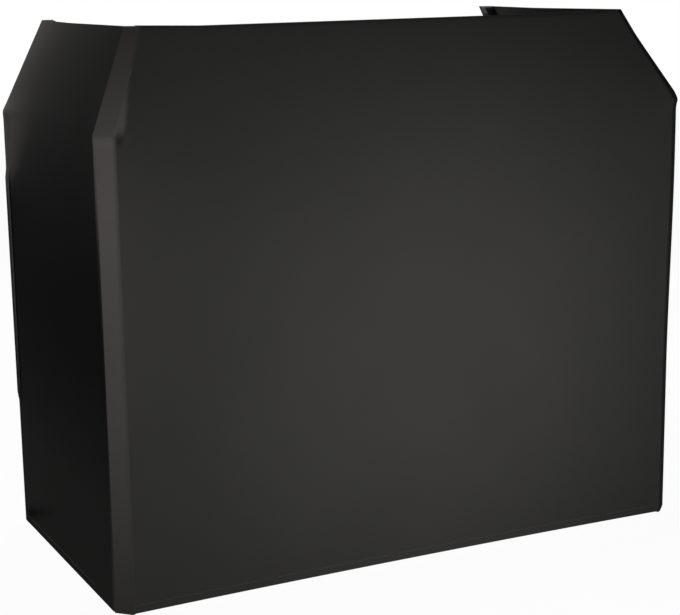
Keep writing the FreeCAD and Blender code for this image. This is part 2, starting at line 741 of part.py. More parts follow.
def hem_strap():
    """A strap round the foot of the corner upright, which holds the cover's hem down."""
    half = CORNER_TUBE_WIDTH / 2
    outside = facet_plate(half + STRAP, 2 * STRAP, CORNER_TUBE_THICK + STRAP)
    inside = facet_plate(half, -STRAP, CORNER_TUBE_THICK)
    return rise(outside.cut(inside), STRAP_HEIGHT, STRAP_HEIGHT + STRAP_WIDTH, FRONT_LEAN)


# Every node of the booth

def front_frame_nodes():
    left_upright = front_upright()
    bolts = [button_bolt(*corner_bolt_seat(h)) for h in FRONT_BOLT_HEIGHTS]
    leaf = hinge_leaf(OUTER_KNUCKLES)
    screw_cuts = at_hinges(leaf_screws(SCREW_CLEARANCE), *FRONT_AXIS, TO_FRONT)
    screws = at_hinges(leaf_screws(), *FRONT_AXIS, TO_FRONT)
    lower_rail = plain_front_rail(LOWER_RAIL_HEIGHT)
    rivet = stay_rivet(FRONT_AXIS_Y, STAY_AXIS_Z, FRONT_EAR_X, REAR_STAY_X)
    return {
        "front_left_upright": left_upright,
        "front_right_upright": mirrored(left_upright),
        "front_top_rail": front_rail(
            TOP_RAIL_HEIGHT, TOP_PLATE_LOW, TOP_PLATE_HIGH, [TOP_BOLT_LOW, TOP_BOLT_HIGH]),
        "front_table_rail": plain_front_rail(TABLE_RAIL_HEIGHT).cut(screw_cuts),
        "front_lower_rail": lower_rail.cut(bracket_screws(FRONT_BRACKET_SCREWS, SCREW_CLEARANCE)),
        "front_rail_bolts": group(bolts + [mirrored(b) for b in bolts]),
        "front_rail_screws": group(screws + bracket_screws(FRONT_BRACKET_SCREWS)),
        "front_feet": both_sides(foot(corner_section)),
        "front_upright_caps": both_sides(cap(corner_top_section, FRONT_LEAN)),
        "front_rail_hinge_leaves": group(at_hinges(leaf, *FRONT_AXIS, TO_FRONT)),
        "front_hinge_pins": group(at_hinges(hinge_pin(), *FRONT_AXIS, TO_FRONT)),
        "front_stay_brackets": both_sides(stay_bracket(FRONT_EAR_X, FRONT_AXIS_Y, RAIL_Y, True)),
        "front_stay_rivets": both_sides(rivet),
        "front_scrim": front_scrim(),
        "left_side_scrim": side_scrim(),
        "right_side_scrim": mirrored(side_scrim()),
        "top_hook_tape": top_hook_tape(),
        "hem_straps": both_sides(hem_strap()),
    }


def table_nodes():
    front_edges = (FRONT_AXIS_Y + HINGE_GAP, CENTRE_AXIS_Y - LEAF_GAP / 2)
    rear_edges = (CENTRE_AXIS_Y + LEAF_GAP / 2, REAR_AXIS_Y - HINGE_GAP)
    front_hinges = [(FRONT_AXIS, TO_BACK), (CENTRE_AXIS, BELOW_TO_FRONT)]
    rear_hinges = [(REAR_AXIS, TO_FRONT), (CENTRE_AXIS, BELOW_TO_BACK)]
    front_board, front_edging = table_leaf(*front_edges, *front_hinges)
    rear_board, rear_edging = table_leaf(*rear_edges, *rear_hinges)
    outer = hinge_leaf(OUTER_KNUCKLES)
    inner = hinge_leaf(INNER_KNUCKLES)
    front_screws = at_hinges(leaf_screws(), *FRONT_AXIS, TO_BACK)
    front_screws += at_hinges(leaf_screws(), *CENTRE_AXIS, BELOW_TO_FRONT)
    rear_screws = at_hinges(leaf_screws(), *REAR_AXIS, TO_FRONT)
    rear_screws += at_hinges(leaf_screws(), *CENTRE_AXIS, BELOW_TO_BACK)
    return {
        "front_table_board": front_board,
        "front_table_edging": front_edging,
        "front_table_hinge_leaves": group(at_hinges(inner, *FRONT_AXIS, TO_BACK)),
        "centre_hinge_front_leaves": group(at_hinges(outer, *CENTRE_AXIS, BELOW_TO_FRONT)),
        "centre_hinge_pins": group(at_hinges(hinge_pin(), *CENTRE_AXIS, BELOW_TO_FRONT)),
        "front_table_screws": group(front_screws),
        "rear_table_board": rear_board,
        "rear_table_edging": rear_edging,
        "rear_table_hinge_leaves": group(at_hinges(inner, *REAR_AXIS, TO_FRONT)),
        "centre_hinge_rear_leaves": group(at_hinges(inner, *CENTRE_AXIS, BELOW_TO_BACK)),
        "rear_table_screws": group(rear_screws),
    }


def rear_frame_nodes():
    left_upright = rear_upright()
    bolts = [button_bolt(*post_bolt_seat(h)) for h in REAR_BOLT_HEIGHTS]
    leaf = hinge_leaf(OUTER_KNUCKLES)
    screw_cuts = at_hinges(leaf_screws(SCREW_CLEARANCE), *REAR_AXIS, TO_BACK)
    screws = at_hinges(leaf_screws(), *REAR_AXIS, TO_BACK)
    lower_rail = rear_rail(LOWER_RAIL_HEIGHT)
    rivet = stay_rivet(REAR_AXIS_Y, STAY_AXIS_Z, REAR_STAY_X - STAY_GAP, REAR_EAR_X + EAR)
    return {
        "rear_left_upright": left_upright,
        "rear_right_upright": mirrored(left_upright),
        "rear_table_rail": rear_rail(TABLE_RAIL_HEIGHT).cut(screw_cuts),
        "rear_lower_rail": lower_rail.cut(bracket_screws(REAR_BRACKET_SCREWS, SCREW_CLEARANCE)),
        "rear_rail_bolts": group(bolts + [mirrored(b) for b in bolts]),
        "rear_rail_screws": group(screws + bracket_screws(REAR_BRACKET_SCREWS)),
        "rear_feet": both_sides(foot(post_section)),
        "rear_upright_caps": both_sides(cap(post_section, REAR_LEAN)),
        "rear_rail_hinge_leaves": group(at_hinges(leaf, *REAR_AXIS, TO_BACK)),
        "rear_hinge_pins": group(at_hinges(hinge_pin(), *REAR_AXIS, TO_BACK)),
        "rear_stay_brackets": both_sides(stay_bracket(REAR_EAR_X, REAR_AXIS_Y, REAR_RAIL_Y, False)),
        "rear_stay_rivets": both_sides(rivet),
        "left_rear_flap": rear_flap(),
        "right_rear_flap": mirrored(rear_flap()),
        "rear_hook_tape": both_sides(rear_hook_tape()),
    }


def stay_nodes():
    front_end = (FRONT_AXIS_Y, STAY_AXIS_Z)
    centre = (CENTRE_AXIS_Y, STAY_CENTRE_Z)
    rear_end = (REAR_AXIS_Y, STAY_AXIS_Z)
    front_bar = stay_bar(front_end, centre, FRONT_STAY_X, STAY_PIN_RUNNING, STAY_PIN_FIT)
    rear_bar = stay_bar(rear_end, centre, REAR_STAY_X, STAY_OPEN_PIVOT, STAY_PIN_RUNNING)
    rivet = stay_rivet(*centre, FRONT_STAY_X, REAR_EAR_X)
    return {
        "left_front_stay": front_bar,
        "right_front_stay": mirrored(front_bar),
        "left_rear_stay": rear_bar,
        "right_rear_stay": mirrored(rear_bar),
        "left_centre_rivet": rivet,
        "right_centre_rivet": mirrored(rivet),
    }


def main():
    nodes = {}
    for make_nodes in (front_frame_nodes, table_nodes, rear_frame_nodes, stay_nodes):
        nodes.update(make_nodes())
    os.makedirs("parts", exist_ok=True)
    for name, shape in nodes.items():
        shape.exportStep("parts/" + name + ".step")
        print(name, len(shape.Solids), round(shape.Volume), "valid" if shape.isValid() else "INVALID")
    print("front axis", FRONT_AXIS, "centre axis", CENTRE_AXIS, "rear axis", REAR_AXIS)
    print("stay axes", STAY_AXIS_Z, STAY_CENTRE_Z, "leaf length", CENTRE_AXIS_Y - FRONT_AXIS_Y)


main()
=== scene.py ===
# %% [markdown]
# # A DJ booth in stretch fabric
#
# The tube frame, the folding table and every bolt of this booth come from a CAD model. Blender adds what
# CAD draws badly: black knit pulled tight over the frame, its hems and stitches, and the finish of each
# tube, board and plastic part. The CAD model is loaded first and stays where it is, so each new piece is
# made in metres at its real place.

# %% Load the frame
import json
import math

import bmesh
import bpy
from mathutils import Matrix, Vector


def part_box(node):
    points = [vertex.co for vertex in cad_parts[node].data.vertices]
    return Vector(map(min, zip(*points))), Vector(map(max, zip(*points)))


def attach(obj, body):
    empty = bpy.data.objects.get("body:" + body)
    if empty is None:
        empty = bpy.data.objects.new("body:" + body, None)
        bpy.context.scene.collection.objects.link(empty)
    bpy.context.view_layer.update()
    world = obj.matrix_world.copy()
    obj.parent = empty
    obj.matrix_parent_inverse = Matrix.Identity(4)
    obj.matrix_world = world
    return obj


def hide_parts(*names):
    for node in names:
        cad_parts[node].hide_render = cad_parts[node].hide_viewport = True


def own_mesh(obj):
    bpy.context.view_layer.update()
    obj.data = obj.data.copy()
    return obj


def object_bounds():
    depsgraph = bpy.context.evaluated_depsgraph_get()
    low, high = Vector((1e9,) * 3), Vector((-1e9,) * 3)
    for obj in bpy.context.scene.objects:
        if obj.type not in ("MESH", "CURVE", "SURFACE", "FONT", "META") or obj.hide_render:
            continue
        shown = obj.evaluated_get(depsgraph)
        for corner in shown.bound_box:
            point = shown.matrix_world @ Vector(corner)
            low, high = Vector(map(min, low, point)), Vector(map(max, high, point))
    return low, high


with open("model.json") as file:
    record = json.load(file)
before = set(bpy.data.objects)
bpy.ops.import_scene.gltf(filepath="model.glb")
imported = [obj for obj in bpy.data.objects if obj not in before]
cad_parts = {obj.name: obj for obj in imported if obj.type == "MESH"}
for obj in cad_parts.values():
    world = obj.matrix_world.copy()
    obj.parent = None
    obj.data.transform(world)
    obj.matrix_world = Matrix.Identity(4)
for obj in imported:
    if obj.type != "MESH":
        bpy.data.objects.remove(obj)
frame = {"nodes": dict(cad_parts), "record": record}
cad_low, cad_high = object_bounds()
nodes = frame["nodes"]
print("CAD nodes:", len(nodes), "box:", [round(v, 3) for v in cad_high - cad_low])

# %% [markdown]
# ## The camera
#
# The booth is seen from its front left corner, a little above its top, through a fairly long lens. A
# camera's turn is easiest to read as three plain rotations: a turn about the upright axis, a tilt down from
# the horizon, and a small roll about the line of sight. They are multiplied in that order.

# %% Camera
PICTURE_WIDTH = 680
FOCAL_LENGTH_IN_PIXELS = 1652.0
SENSOR_WIDTH = 36.0
CAMERA_PLACE = (-1.6828, -3.3733, 1.3182)
TURN_DEGREES = -26.31
TILT_DEGREES = 12.095
ROLL_DEGREES = -0.855

camera_data = bpy.data.cameras.new("camera")
camera_data.sensor_width = SENSOR_WIDTH
camera_data.lens = FOCAL_LENGTH_IN_PIXELS / PICTURE_WIDTH * SENSOR_WIDTH
camera = bpy.data.objects.new("camera", camera_data)
turn = Matrix.Rotation(math.radians(TURN_DEGREES), 4, "Z")
tilt = Matrix.Rotation(math.radians(90 - TILT_DEGREES), 4, "X")
roll = Matrix.Rotation(math.radians(ROLL_DEGREES), 4, "Z")
camera.matrix_world = Matrix.Translation(CAMERA_PLACE) @ turn @ tilt @ roll
bpy.context.scene.collection.objects.link(camera)
bpy.context.scene.camera = camera
print("lens:", round(camera_data.lens, 1), "mm")

# %% [markdown]
# ## The lines that the cover follows
#
# The cover takes its shape from a few lines of the frame. Each front corner tube has a flat outer face, so
# the cloth has two edges there: one where the front panel meets this bevelled strip, and one where the
# strip meets the side. Above the bend all of these lines lean inwards. Cloth can't fold as sharply as a
# tube is mitred, so the lean is eased over a centimetre or two, and padded out by as much as the easing
# would cut into the tube. At the top, the cloth stands up a few millimetres over the end of each front
# tube.

# %% Sizes of the cover
FRONT = cad_low.y
HALF_WIDTH = cad_high.x
TOP = cad_high.z
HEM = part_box("front_scrim")[0].z
SIDE_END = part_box("left_side_scrim")[1].y
BEND = 0.980
BEND_EASE = 0.008
PAD_SHARE = 0.9
PAD_REACH = 1.6
HOOD = TOP - BEND
INSET = 0.102
SETBACK = 0.088
BEVEL = 0.0327
TOP_BEVEL = 0.0256
TAPER = BEVEL - TOP_BEVEL
LIFT = 0.0045
LIFT_DEPTH = 0.10
LIFT_REACH = 0.35
SIDES = {"left": -1, "right": 1}


def hood_share(height, ease=BEND_EASE):
    """0 below the bend, 1 at the top, with an eased start."""
    rise = height - BEND
    eased = (rise + math.hypot(rise, ease)) / (HOOD + math.hypot(HOOD, ease))
    pad = PAD_SHARE * BEND_EASE ** 2 / ease / 2 * math.exp(-(rise / (PAD_REACH * BEND_EASE)) ** 2)
    return eased - pad / HOOD


def front_edge(height):
    """Where the strip meets the front: distance from the middle, and Y."""
    share = hood_share(height)
    return HALF_WIDTH - BEVEL - (INSET - TAPER) * share, FRONT + SETBACK * share


def side_edge(height):
    """Where the strip meets the side: distance from the middle, and Y."""
    share = hood_share(height)
    return HALF_WIDTH - INSET * share, FRONT + BEVEL + (SETBACK - TAPER) * share


def corner_lift(height, away):
    """How far the cloth stands up over a front tube's end, fading downwards and away from the tube."""
    near_top = max(0.0, 1 - (TOP - height) / LIFT_DEPTH)
    return LIFT * near_top ** 2 * max(0.0, 1 - away / LIFT_REACH)


print("front edge at the top:", [round(v, 3) for v in front_edge(TOP)])

# %% [markdown]
# ## Cloth between the tubes
#
# Between the tubes the cloth is a stretched skin with nothing behind it. It can't follow the sharp bend of
# the tubes there, so it starts to lean far below the bend and curves gently up to the top rail. At a tube
# it follows the tube. A fourth power of the place across the panel blends the two: it is flat over most of
# the panel and turns quickly near its ends. The tube's bend itself grows softer with the distance from the
# tube, as it does on a real skin under tension, so that no kink runs across the panel.
#
# The cover isn't pulled down evenly. On the right it stands a few millimetres off the front tube from mid
# height up, and a little more just above the bend, which it bridges in a small wedge.

# %% Shape of the stretched skin
LEAN_START = 0.520
LEAN_POWER = 3
GRIP_POWER = 4
EASE_GROWTH = 0.45
STAND_OFF = 0.008
STAND_LOW = 0.35
STAND_HIGH = 0.85
STAND_REACH = 0.35
WEDGE = 0.009
WEDGE_RISE = 0.018
WEDGE_UP = 0.130
WEDGE_DOWN = 0.030


def loose_share(height):
    """The slow lean of the skin far from any tube."""
    return max(0.0, (height - LEAN_START) / (TOP - LEAN_START)) ** LEAN_POWER


def skin_share(height, across, half):
    """The lean at a place across a panel of a half width, from -1 at one tube to 1 at the other."""
    loose = 1 - across ** GRIP_POWER
    ease = BEND_EASE + EASE_GROWTH * half * max(0.0, 1 - abs(across))
    return hood_share(height, ease) * (1 - loose) + loose_share(height) * loose


def stand_off(side, height):
    """How far the cloth stands off a front tube."""
    if side < 0:
        return 0.0
    up = min(max((height - STAND_LOW) / (STAND_HIGH - STAND_LOW), 0.0), 1.0)
    above = height - BEND - WEDGE_RISE
    wedge = max(0.0, 1 - (above / WEDGE_UP if above > 0 else -above / WEDGE_DOWN))
    return STAND_OFF * up * up * (3 - 2 * up) + WEDGE * wedge


def side_reach(side, y, height):
    """Distance of the side panel from the middle of the booth."""
    start = side_edge(height)[1]
    half = (SIDE_END - start) / 2
    across = (y - start) / half - 1
    near_tube = max(0.0, 1 - (y - start) / STAND_REACH) ** 2
    return HALF_WIDTH - INSET * skin_share(height, across, half) + stand_off(side, height) * near_tube


print("lean in the middle at the bend:", round(loose_share(BEND) * SETBACK, 4))

# %% [markdown]
# ## A grid of cloth
#
# Every panel starts as bmesh's own grid. Each vertex is then moved to its place on the panel by a function
# of how far it is across the cloth and how high. The rows lie close together at the hem, where the cloth is
# sewn, and at the bend, and about a centimetre apart elsewhere. The grid also gets a UV map in metres, so
# that the knit runs along the cloth and not along the room. A vertex attribute holds a tone from -1 to 1
# for the knit's material to read: below 0 it is painted shade and above 0 painted light. Knit pulled thin
# over a tube is a little greyer, as the grey of its core shows through, and slack knit with closed loops a
# little blacker, but most of these marks stand for light and shade that fall on the cloth.

# %% Cloth grid
HEM_ROWS = [0.0, 0.004, 0.009, 0.013, 0.016, 0.019, 0.024]
BEND_ROWS = [-0.005, -0.0025, 0.0, 0.0025, 0.005]
BEND_ZONE = 0.010
PLAIN_START = HEM + 0.034
LOWER_ROWS = 92
HOOD_ROWS = 19
KNIT_THICKNESS = 0.0008


def even_rows(low, high, count):
    """Heights from low to high in even steps, with both ends."""
    return [low + (high - low) * i / count for i in range(count + 1)]


ROWS = [HEM + rise for rise in HEM_ROWS]
ROWS += even_rows(PLAIN_START, BEND - BEND_ZONE, LOWER_ROWS)
ROWS += [BEND + rise for rise in BEND_ROWS]
ROWS += even_rows(BEND + BEND_ZONE, TOP, HOOD_ROWS)


def cloth_grid(columns, heights, place):
    """A bmesh grid whose vertices are moved by place(column, height), and its vertices by (column, row)."""
    cloth = bmesh.new()
    rows = len(heights) - 1
    bmesh.ops.create_grid(cloth, x_segments=columns, y_segments=rows, size=0.5)
    knit_map = cloth.loops.layers.uv.new("knit")
    # This layer holds the tone, painted light and shade for the knit's colour, from -1 to 1.
    cloth.verts.layers.float.new("stretch_and_painted_light")
    grid = {}
    flat = {}
    for vert in cloth.verts:
        column = round((vert.co.x + 0.5) * columns)
        row = round((vert.co.y + 0.5) * rows)
        point, across = place(column, heights[row])
        vert.co = point
        grid[column, row] = vert
        flat[vert] = (across, heights[row])
    for face in cloth.faces:
        for loop in face.loops:
            loop[knit_map].uv = flat[loop.vert]
    return cloth, grid


def paint_tone(cloth, verts, stretch_and_painted_light):
    """Set the tone at some vertices, from -1 for painted shade (slack cloth) to 1 for painted light
    (stretched cloth).
    """
    layer = cloth.verts.layers.float["stretch_and_painted_light"]
    for vert in verts:
        vert[layer] = stretch_and_painted_light


def new_object(name, shape):
    """An object in the scene that holds a finished bmesh."""
    mesh = bpy.data.meshes.new(name)
    shape.to_mesh(mesh)
    shape.free()
    made = bpy.data.objects.new(name, mesh)
    bpy.context.scene.collection.objects.link(made)
    return made


def cloth_piece(name, cloth, body, thickness=KNIT_THICKNESS):
    """An object made from a sheet of cloth, with its thickness on the inner side."""
    for face in cloth.faces:
        face.smooth = True
    for edge in cloth.edges:
        edge.smooth = not edge.is_boundary
    piece = new_object(name, cloth)
    wall = piece.modifiers.new("thickness", "SOLIDIFY")
    wall.thickness = thickness
    wall.offset = -1.0
    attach(piece, body)
    print(name, "vertices:", len(piece.data.vertices))
    return piece


print("rows of cloth:", len(ROWS))

# %% [markdown]
# ## The front of the cover
#
# The front panel, both bevelled strips and the first hand's width of each side hang on the front frame, so
# they are one sheet. From left to right its columns are the side, the strip, the front, the strip and the
# side. The front's columns lie closer together towards the strips, where the small folds are. A strip has a
# column close to each of its edges, which keeps the shading of its flat middle apart from that of the edge.

# %% Front sheet
SPLIT = -0.190
SIDE_COLUMNS = 6
SIDE_CROWDING = 1.5
STRIP_PLACES = [0.0, 0.09, 0.12, 0.45, 0.80, 0.91, 1.0]
STRIP_COLUMNS = len(STRIP_PLACES) - 1
FRONT_COLUMNS = 96
FRONT_EVEN = 0.35
STAND_POWER = 8
EDGE_COLUMNS = SIDE_COLUMNS + STRIP_COLUMNS
SHEET_COLUMNS = FRONT_COLUMNS + 2 * EDGE_COLUMNS
HEM_ARCH = 0.0045
ARCH_REACH = 0.3
FRONT_LIFT = 2.5


def front_sheet_place(column, height):
    """The point of one vertex of the front sheet, and how far across the flat cloth it is."""
    side = -1 if column < SHEET_COLUMNS / 2 else 1
    steps = min(column, SHEET_COLUMNS - column)
    inner_x, inner_y = front_edge(height)
    outer_x, outer_y = side_edge(height)
    strip_width = math.hypot(outer_x - inner_x, outer_y - inner_y)
    half_front = HALF_WIDTH - BEVEL
    if steps < SIDE_COLUMNS:
        back = (1 - steps / SIDE_COLUMNS) ** SIDE_CROWDING
        y = outer_y + (SPLIT - outer_y) * back
        across = half_front + strip_width + y - outer_y
        lifted = height + corner_lift(height, y - outer_y)
        return Vector((side * side_reach(side, y, height), y, lifted)), side * across
    if steps < EDGE_COLUMNS:
        share = STRIP_PLACES[steps - SIDE_COLUMNS]
        x = outer_x + (inner_x - outer_x) * share + stand_off(side, height)
        y = outer_y + (inner_y - outer_y) * share
        lifted = height + corner_lift(height, 0.0)
        return Vector((side * x, y, lifted)), side * (half_front + strip_width * (1 - share))
    even = (column - EDGE_COLUMNS) / FRONT_COLUMNS * 2 - 1
    spread = FRONT_EVEN * even + (1 - FRONT_EVEN) * math.sin(even * math.pi / 2)
    y = FRONT + SETBACK * skin_share(height, spread, inner_x)
    arch = HEM_ARCH * (1 - spread * spread) * max(0.0, 1 - (height - HEM) / ARCH_REACH)
    lift = corner_lift(height, FRONT_LIFT * inner_x * (1 - abs(spread)))
    x = inner_x * spread + stand_off(side, height) * spread ** STAND_POWER
    return Vector((x, y, height + arch + lift)), half_front * spread


front_cloth, front_grid = cloth_grid(SHEET_COLUMNS, ROWS, front_sheet_place)
LAST_ROW = len(ROWS) - 1
rail_low, rail_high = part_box("front_table_rail")
rail_gap = rail_low.y - front_sheet_place(SHEET_COLUMNS // 2, rail_high.z)[0].y
print("front sheet faces:", len(front_cloth.faces), "gap in front of the table rail:", round(rail_gap, 4))

# %% [markdown]
# At the bend the front panel is pulled two ways. A small pleat stands up beside each strip: it starts as
# nothing a hand's width above the bend, grows as it comes down, and ends at the bend in a dimple. It is
# added as a push on the vertices near the strip, forwards for the pleat and backwards for the dimple.

# %% Pleat and dimple beside each strip
PLEAT_HEIGHT = 0.125
PLEAT_WIDTH = 0.018
PLEAT_PUSH = 0.010
PLEAT_FADE = 0.009
PLEAT_SOFT = 0.008
PLEAT_OVER = 0.5
PLEAT_END = 0.014
DIMPLE_GAP = 0.014
DIMPLE_DROP = 0.008
DIMPLE_SIZE = 0.0055
DIMPLE_STRETCH = 1.6
DIMPLE_DEPTH = 0.005
RIGHT_PLEAT = 0.4


def pleat_push(gap, rise, size):
    """How far the pleat stands forward at a distance from the strip and a height above the bend."""
    if rise > PLEAT_HEIGHT:
        return 0.0
    up = max(rise, 0.0) / PLEAT_HEIGHT
    below = math.exp(min(rise, 0.0) / PLEAT_END)
    ridge = PLEAT_WIDTH * size * (1 - up)
    if gap < ridge:
        shape = gap / ridge
    else:
        shape = math.exp(-(gap - ridge) / PLEAT_FADE)
    return PLEAT_PUSH * size * (1 - up) * shape * below


def dimple_push(gap, rise):
    """How far the dimple goes in."""
    across = (gap - DIMPLE_GAP) / DIMPLE_SIZE
    away = math.hypot(across, (rise + DIMPLE_DROP) / (DIMPLE_STRETCH * DIMPLE_SIZE))
    return DIMPLE_DEPTH * math.exp(-away * away)


def gap_to_strip(point):
    """How far a point of the front is from the nearer strip."""
    side = -1 if point.x < 0 else 1
    return front_edge(point.z)[0] + stand_off(side, point.z) - abs(point.x)


loose_columns = range(EDGE_COLUMNS + 1, SHEET_COLUMNS - EDGE_COLUMNS)
loose = [front_grid[i, j] for i in loose_columns for j in range(1, LAST_ROW)]
for vert in loose:
    gap = gap_to_strip(vert.co)
    rise = vert.co.z - BEND
    size = 1.0 if vert.co.x < 0 else RIGHT_PLEAT
    vert.co.y += dimple_push(gap, rise) * size - pleat_push(gap, rise, size)
print("pleat stands", PLEAT_PUSH * 1000, "mm proud")

# %% [markdown]
# The strips are the cloth over the corner tubes. Their tone is set now, before the bevel, which carries it
# over to its new vertices. The left strip gets painted light, which also stands for the knit's stretch over
# the tube; it is painted weaker near the floor and in the hood, and it ends a little before the strip does:
# painted shade runs down the strip's outer edge at mid height, and on the other edge the light fades into
# the front. The left pleat gets a painted highlight and the dimple painted shade. The right strip and its
# pleat get painted shade, so they stay black. The sides get painted shade at mid height.

# %% Paint light and shade on the cloth over the tubes
# Tones below 0 are painted shade and above 0 painted light. The left strip's light rises with height and is
# cut in the hood by painted shade.
PAINTED_SHADE = -0.75
LEFT_PLEAT_HIGHLIGHT = 0.75
ACROSS_STRIP_LIGHT = [0.0, 0.0, 1.0, 1.0, 1.0, 0.95, 0.4]
STRIP_LIGHT_AT_FLOOR = 0.13
STRIP_LIGHT_RISE = 1.02
HOOD_SHADE = 0.72
EDGE_SHADE_POWER = 1.5
BESIDE_STRIP_LIGHT = 0.085
BESIDE_REACH = 0.10
BESIDE_LOW = 0.35
WALL_SHADE = -0.90
WALL_LOW = 0.22
WALL_HIGH = 1.00
FOOT_BOUNCE_LIGHT = 0.05


def left_strip_painted_light(step, height):
    """The painted light on the left strip by column and height, with painted shade along its outer edge."""
    in_hood = max(0.0, hood_share(height))
    strip_light = min(1.0, STRIP_LIGHT_AT_FLOOR + STRIP_LIGHT_RISE * height) * (1 - HOOD_SHADE * in_hood)
    if step > 1:
        beside_pleat = 0 < height - BEND < PLEAT_HEIGHT
        return strip_light * (1.0 if beside_pleat else ACROSS_STRIP_LIGHT[step])
    edge_shade = math.sin(math.pi * min(1.0, (height - HEM) / (BEND - HEM))) ** EDGE_SHADE_POWER
    return strip_light * (1 - edge_shade) + PAINTED_SHADE * edge_shade


def light_beside_strip(gap, height):
    """Weak painted light on the front beside the left strip."""
    up = min(max((height - BESIDE_LOW) / (BEND - BESIDE_LOW), 0.0), 1.0)
    return BESIDE_STRIP_LIGHT * math.sin(math.pi * up) * math.exp(-gap / BESIDE_REACH)


def wall_shade_and_bounce(height):
    """Painted shade on the side at mid height, and painted bounce light from the floor by the hem."""
    if height < WALL_LOW:
        return FOOT_BOUNCE_LIGHT * (1 - height / WALL_LOW)
    up = min((height - WALL_LOW) / (WALL_HIGH - WALL_LOW), 1.0)
    return WALL_SHADE * math.sin(math.pi * up)


# The left strip's columns get painted light, with painted shade on their outer edge.
for step in range(STRIP_COLUMNS + 1):
    for j, height in enumerate(ROWS):
        left = front_grid[SIDE_COLUMNS + step, j]
        right = front_grid[SHEET_COLUMNS - SIDE_COLUMNS - step, j]
        paint_tone(front_cloth, [left], left_strip_painted_light(step, height))
        # The right strip gets painted shade all over.
        paint_tone(front_cloth, [right], PAINTED_SHADE)
# The side columns of the front sheet get painted shade at mid height and painted bounce light by the hem.
for (column, row), vert in front_grid.items():
    if min(column, SHEET_COLUMNS - column) < SIDE_COLUMNS:
        paint_tone(front_cloth, [vert], wall_shade_and_bounce(ROWS[row]))
# The left pleat gets a painted highlight, the right pleat and the dimple painted shade, and the front below
# the bend beside the left strip weak painted light.
for vert in loose:
    gap = gap_to_strip(vert.co)
    rise = vert.co.z - BEND
    on_left = vert.co.x < 0
    width = PLEAT_WIDTH * (1.0 if on_left else RIGHT_PLEAT)
    up = rise / PLEAT_HEIGHT
    inside = (width * (1 - up) - gap) / PLEAT_SOFT + PLEAT_OVER * (1 - up)
    if 0 < up < 1 and inside > 0:
        strength = min(inside, 1.0) * min(rise / PLEAT_END, 1.0)
        paint_tone(front_cloth, [vert], (LEFT_PLEAT_HIGHLIGHT if on_left else PAINTED_SHADE) * strength)
    elif on_left and rise < 0:
        dip = dimple_push(gap, rise) / DIMPLE_DEPTH
        paint_tone(front_cloth, [vert], light_beside_strip(gap, vert.co.z) * (1 - dip) + PAINTED_SHADE * dip)
print("columns over each tube:", STRIP_COLUMNS + 1)

# %% [markdown]
# The top of the front panel goes over the top rail and down behind it, where hook tape holds it. Extruding
# the top edge four times makes that flap: a soft turn and the run over the rail, and then, only as far as
# the tape reaches, a second turn and the drop. After that the strips' edges get a small bevel, as cloth has
# over a tube's rounded corner.

# %% Flap over the top rail and bevelled edges
FLAP_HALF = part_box("top_hook_tape")[1].x
EDGE_DROP = 0.0012
FLAP_RUN = [(0.0016, EDGE_DROP), (0.0378, 0.0)]
FLAP_DROP = [(0.0014, -0.0014), (0.0, -0.0255)]
CREASE_BEVEL = 0.0016
edge_row = [front_grid[i, LAST_ROW] for i in range(EDGE_COLUMNS, SHEET_COLUMNS - EDGE_COLUMNS + 1)]


def carry_edges(cloth, edges, shift):
    """Extrude a line of edges, move the new edges, and return them."""
    made = bmesh.ops.extrude_edge_only(cloth, edges=edges)["geom"]
    new_verts = [g for g in made if isinstance(g, bmesh.types.BMVert)]
    bmesh.ops.translate(cloth, verts=new_verts, vec=shift)
    return [g for g in made if isinstance(g, bmesh.types.BMEdge) and all(v in new_verts for v in g.verts)]


flap_edges = [front_cloth.edges.get(pair) for pair in zip(edge_row, edge_row[1:])]
for vert in edge_row:
    vert.co.z -= EDGE_DROP
for back, up in FLAP_RUN:
    flap_edges = carry_edges(front_cloth, flap_edges, (0, back, up))
flap_edges = [edge for edge in flap_edges if max(abs(v.co.x) for v in edge.verts) <= FLAP_HALF]
for back, up in FLAP_DROP:
    flap_edges = carry_edges(front_cloth, flap_edges, (0, back, up))

crease_columns = [SIDE_COLUMNS, EDGE_COLUMNS, SHEET_COLUMNS - EDGE_COLUMNS, SHEET_COLUMNS - SIDE_COLUMNS]
creases = []
for i in crease_columns:
    for j in range(LAST_ROW):
        creases.append(front_cloth.edges.get((front_grid[i, j], front_grid[i, j + 1])))
bmesh.ops.bevel(
    front_cloth, geom=creases, offset=CREASE_BEVEL, segments=2, profile=0.5, affect="EDGES", material=-1)
print("creases bevelled:", len(creases))

# %% [markdown]
# At each front corner the cloth closes over the end of the tube: the top edge of the strip is carried
# inwards and lies flat on the tube's cap.

# %% Cloth over the tube ends
CAP_COVER = 0.017
CAP_GAP = 0.0006
RIM_SLACK = 0.001
RIM_DEPTH = 0.003
SHORTEST_RIM = 0.0002
strip_end_y = side_edge(TOP)[1]
for side in SIDES.values():
    rim = []
    for edge in front_cloth.edges:
        middle = (edge.verts[0].co + edge.verts[1].co) / 2
        over_tube = abs(middle.x) > front_edge(TOP)[0] - RIM_SLACK and middle.y < strip_end_y + RIM_SLACK
        at_top = middle.z > TOP - RIM_DEPTH and middle.x * side > 0
        runs_across = abs(edge.verts[0].co.x - edge.verts[1].co.x) > SHORTEST_RIM
        if edge.is_boundary and over_tube and at_top and runs_across:
            rim.append(edge)
    carry_edges(front_cloth, rim, (-side * CAP_COVER, CAP_COVER, -LIFT - CAP_GAP))
    print("edges carried inwards:", len(rim))
front_cover = cloth_piece("front_cover", front_cloth, "front_frame")
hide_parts("front_scrim")

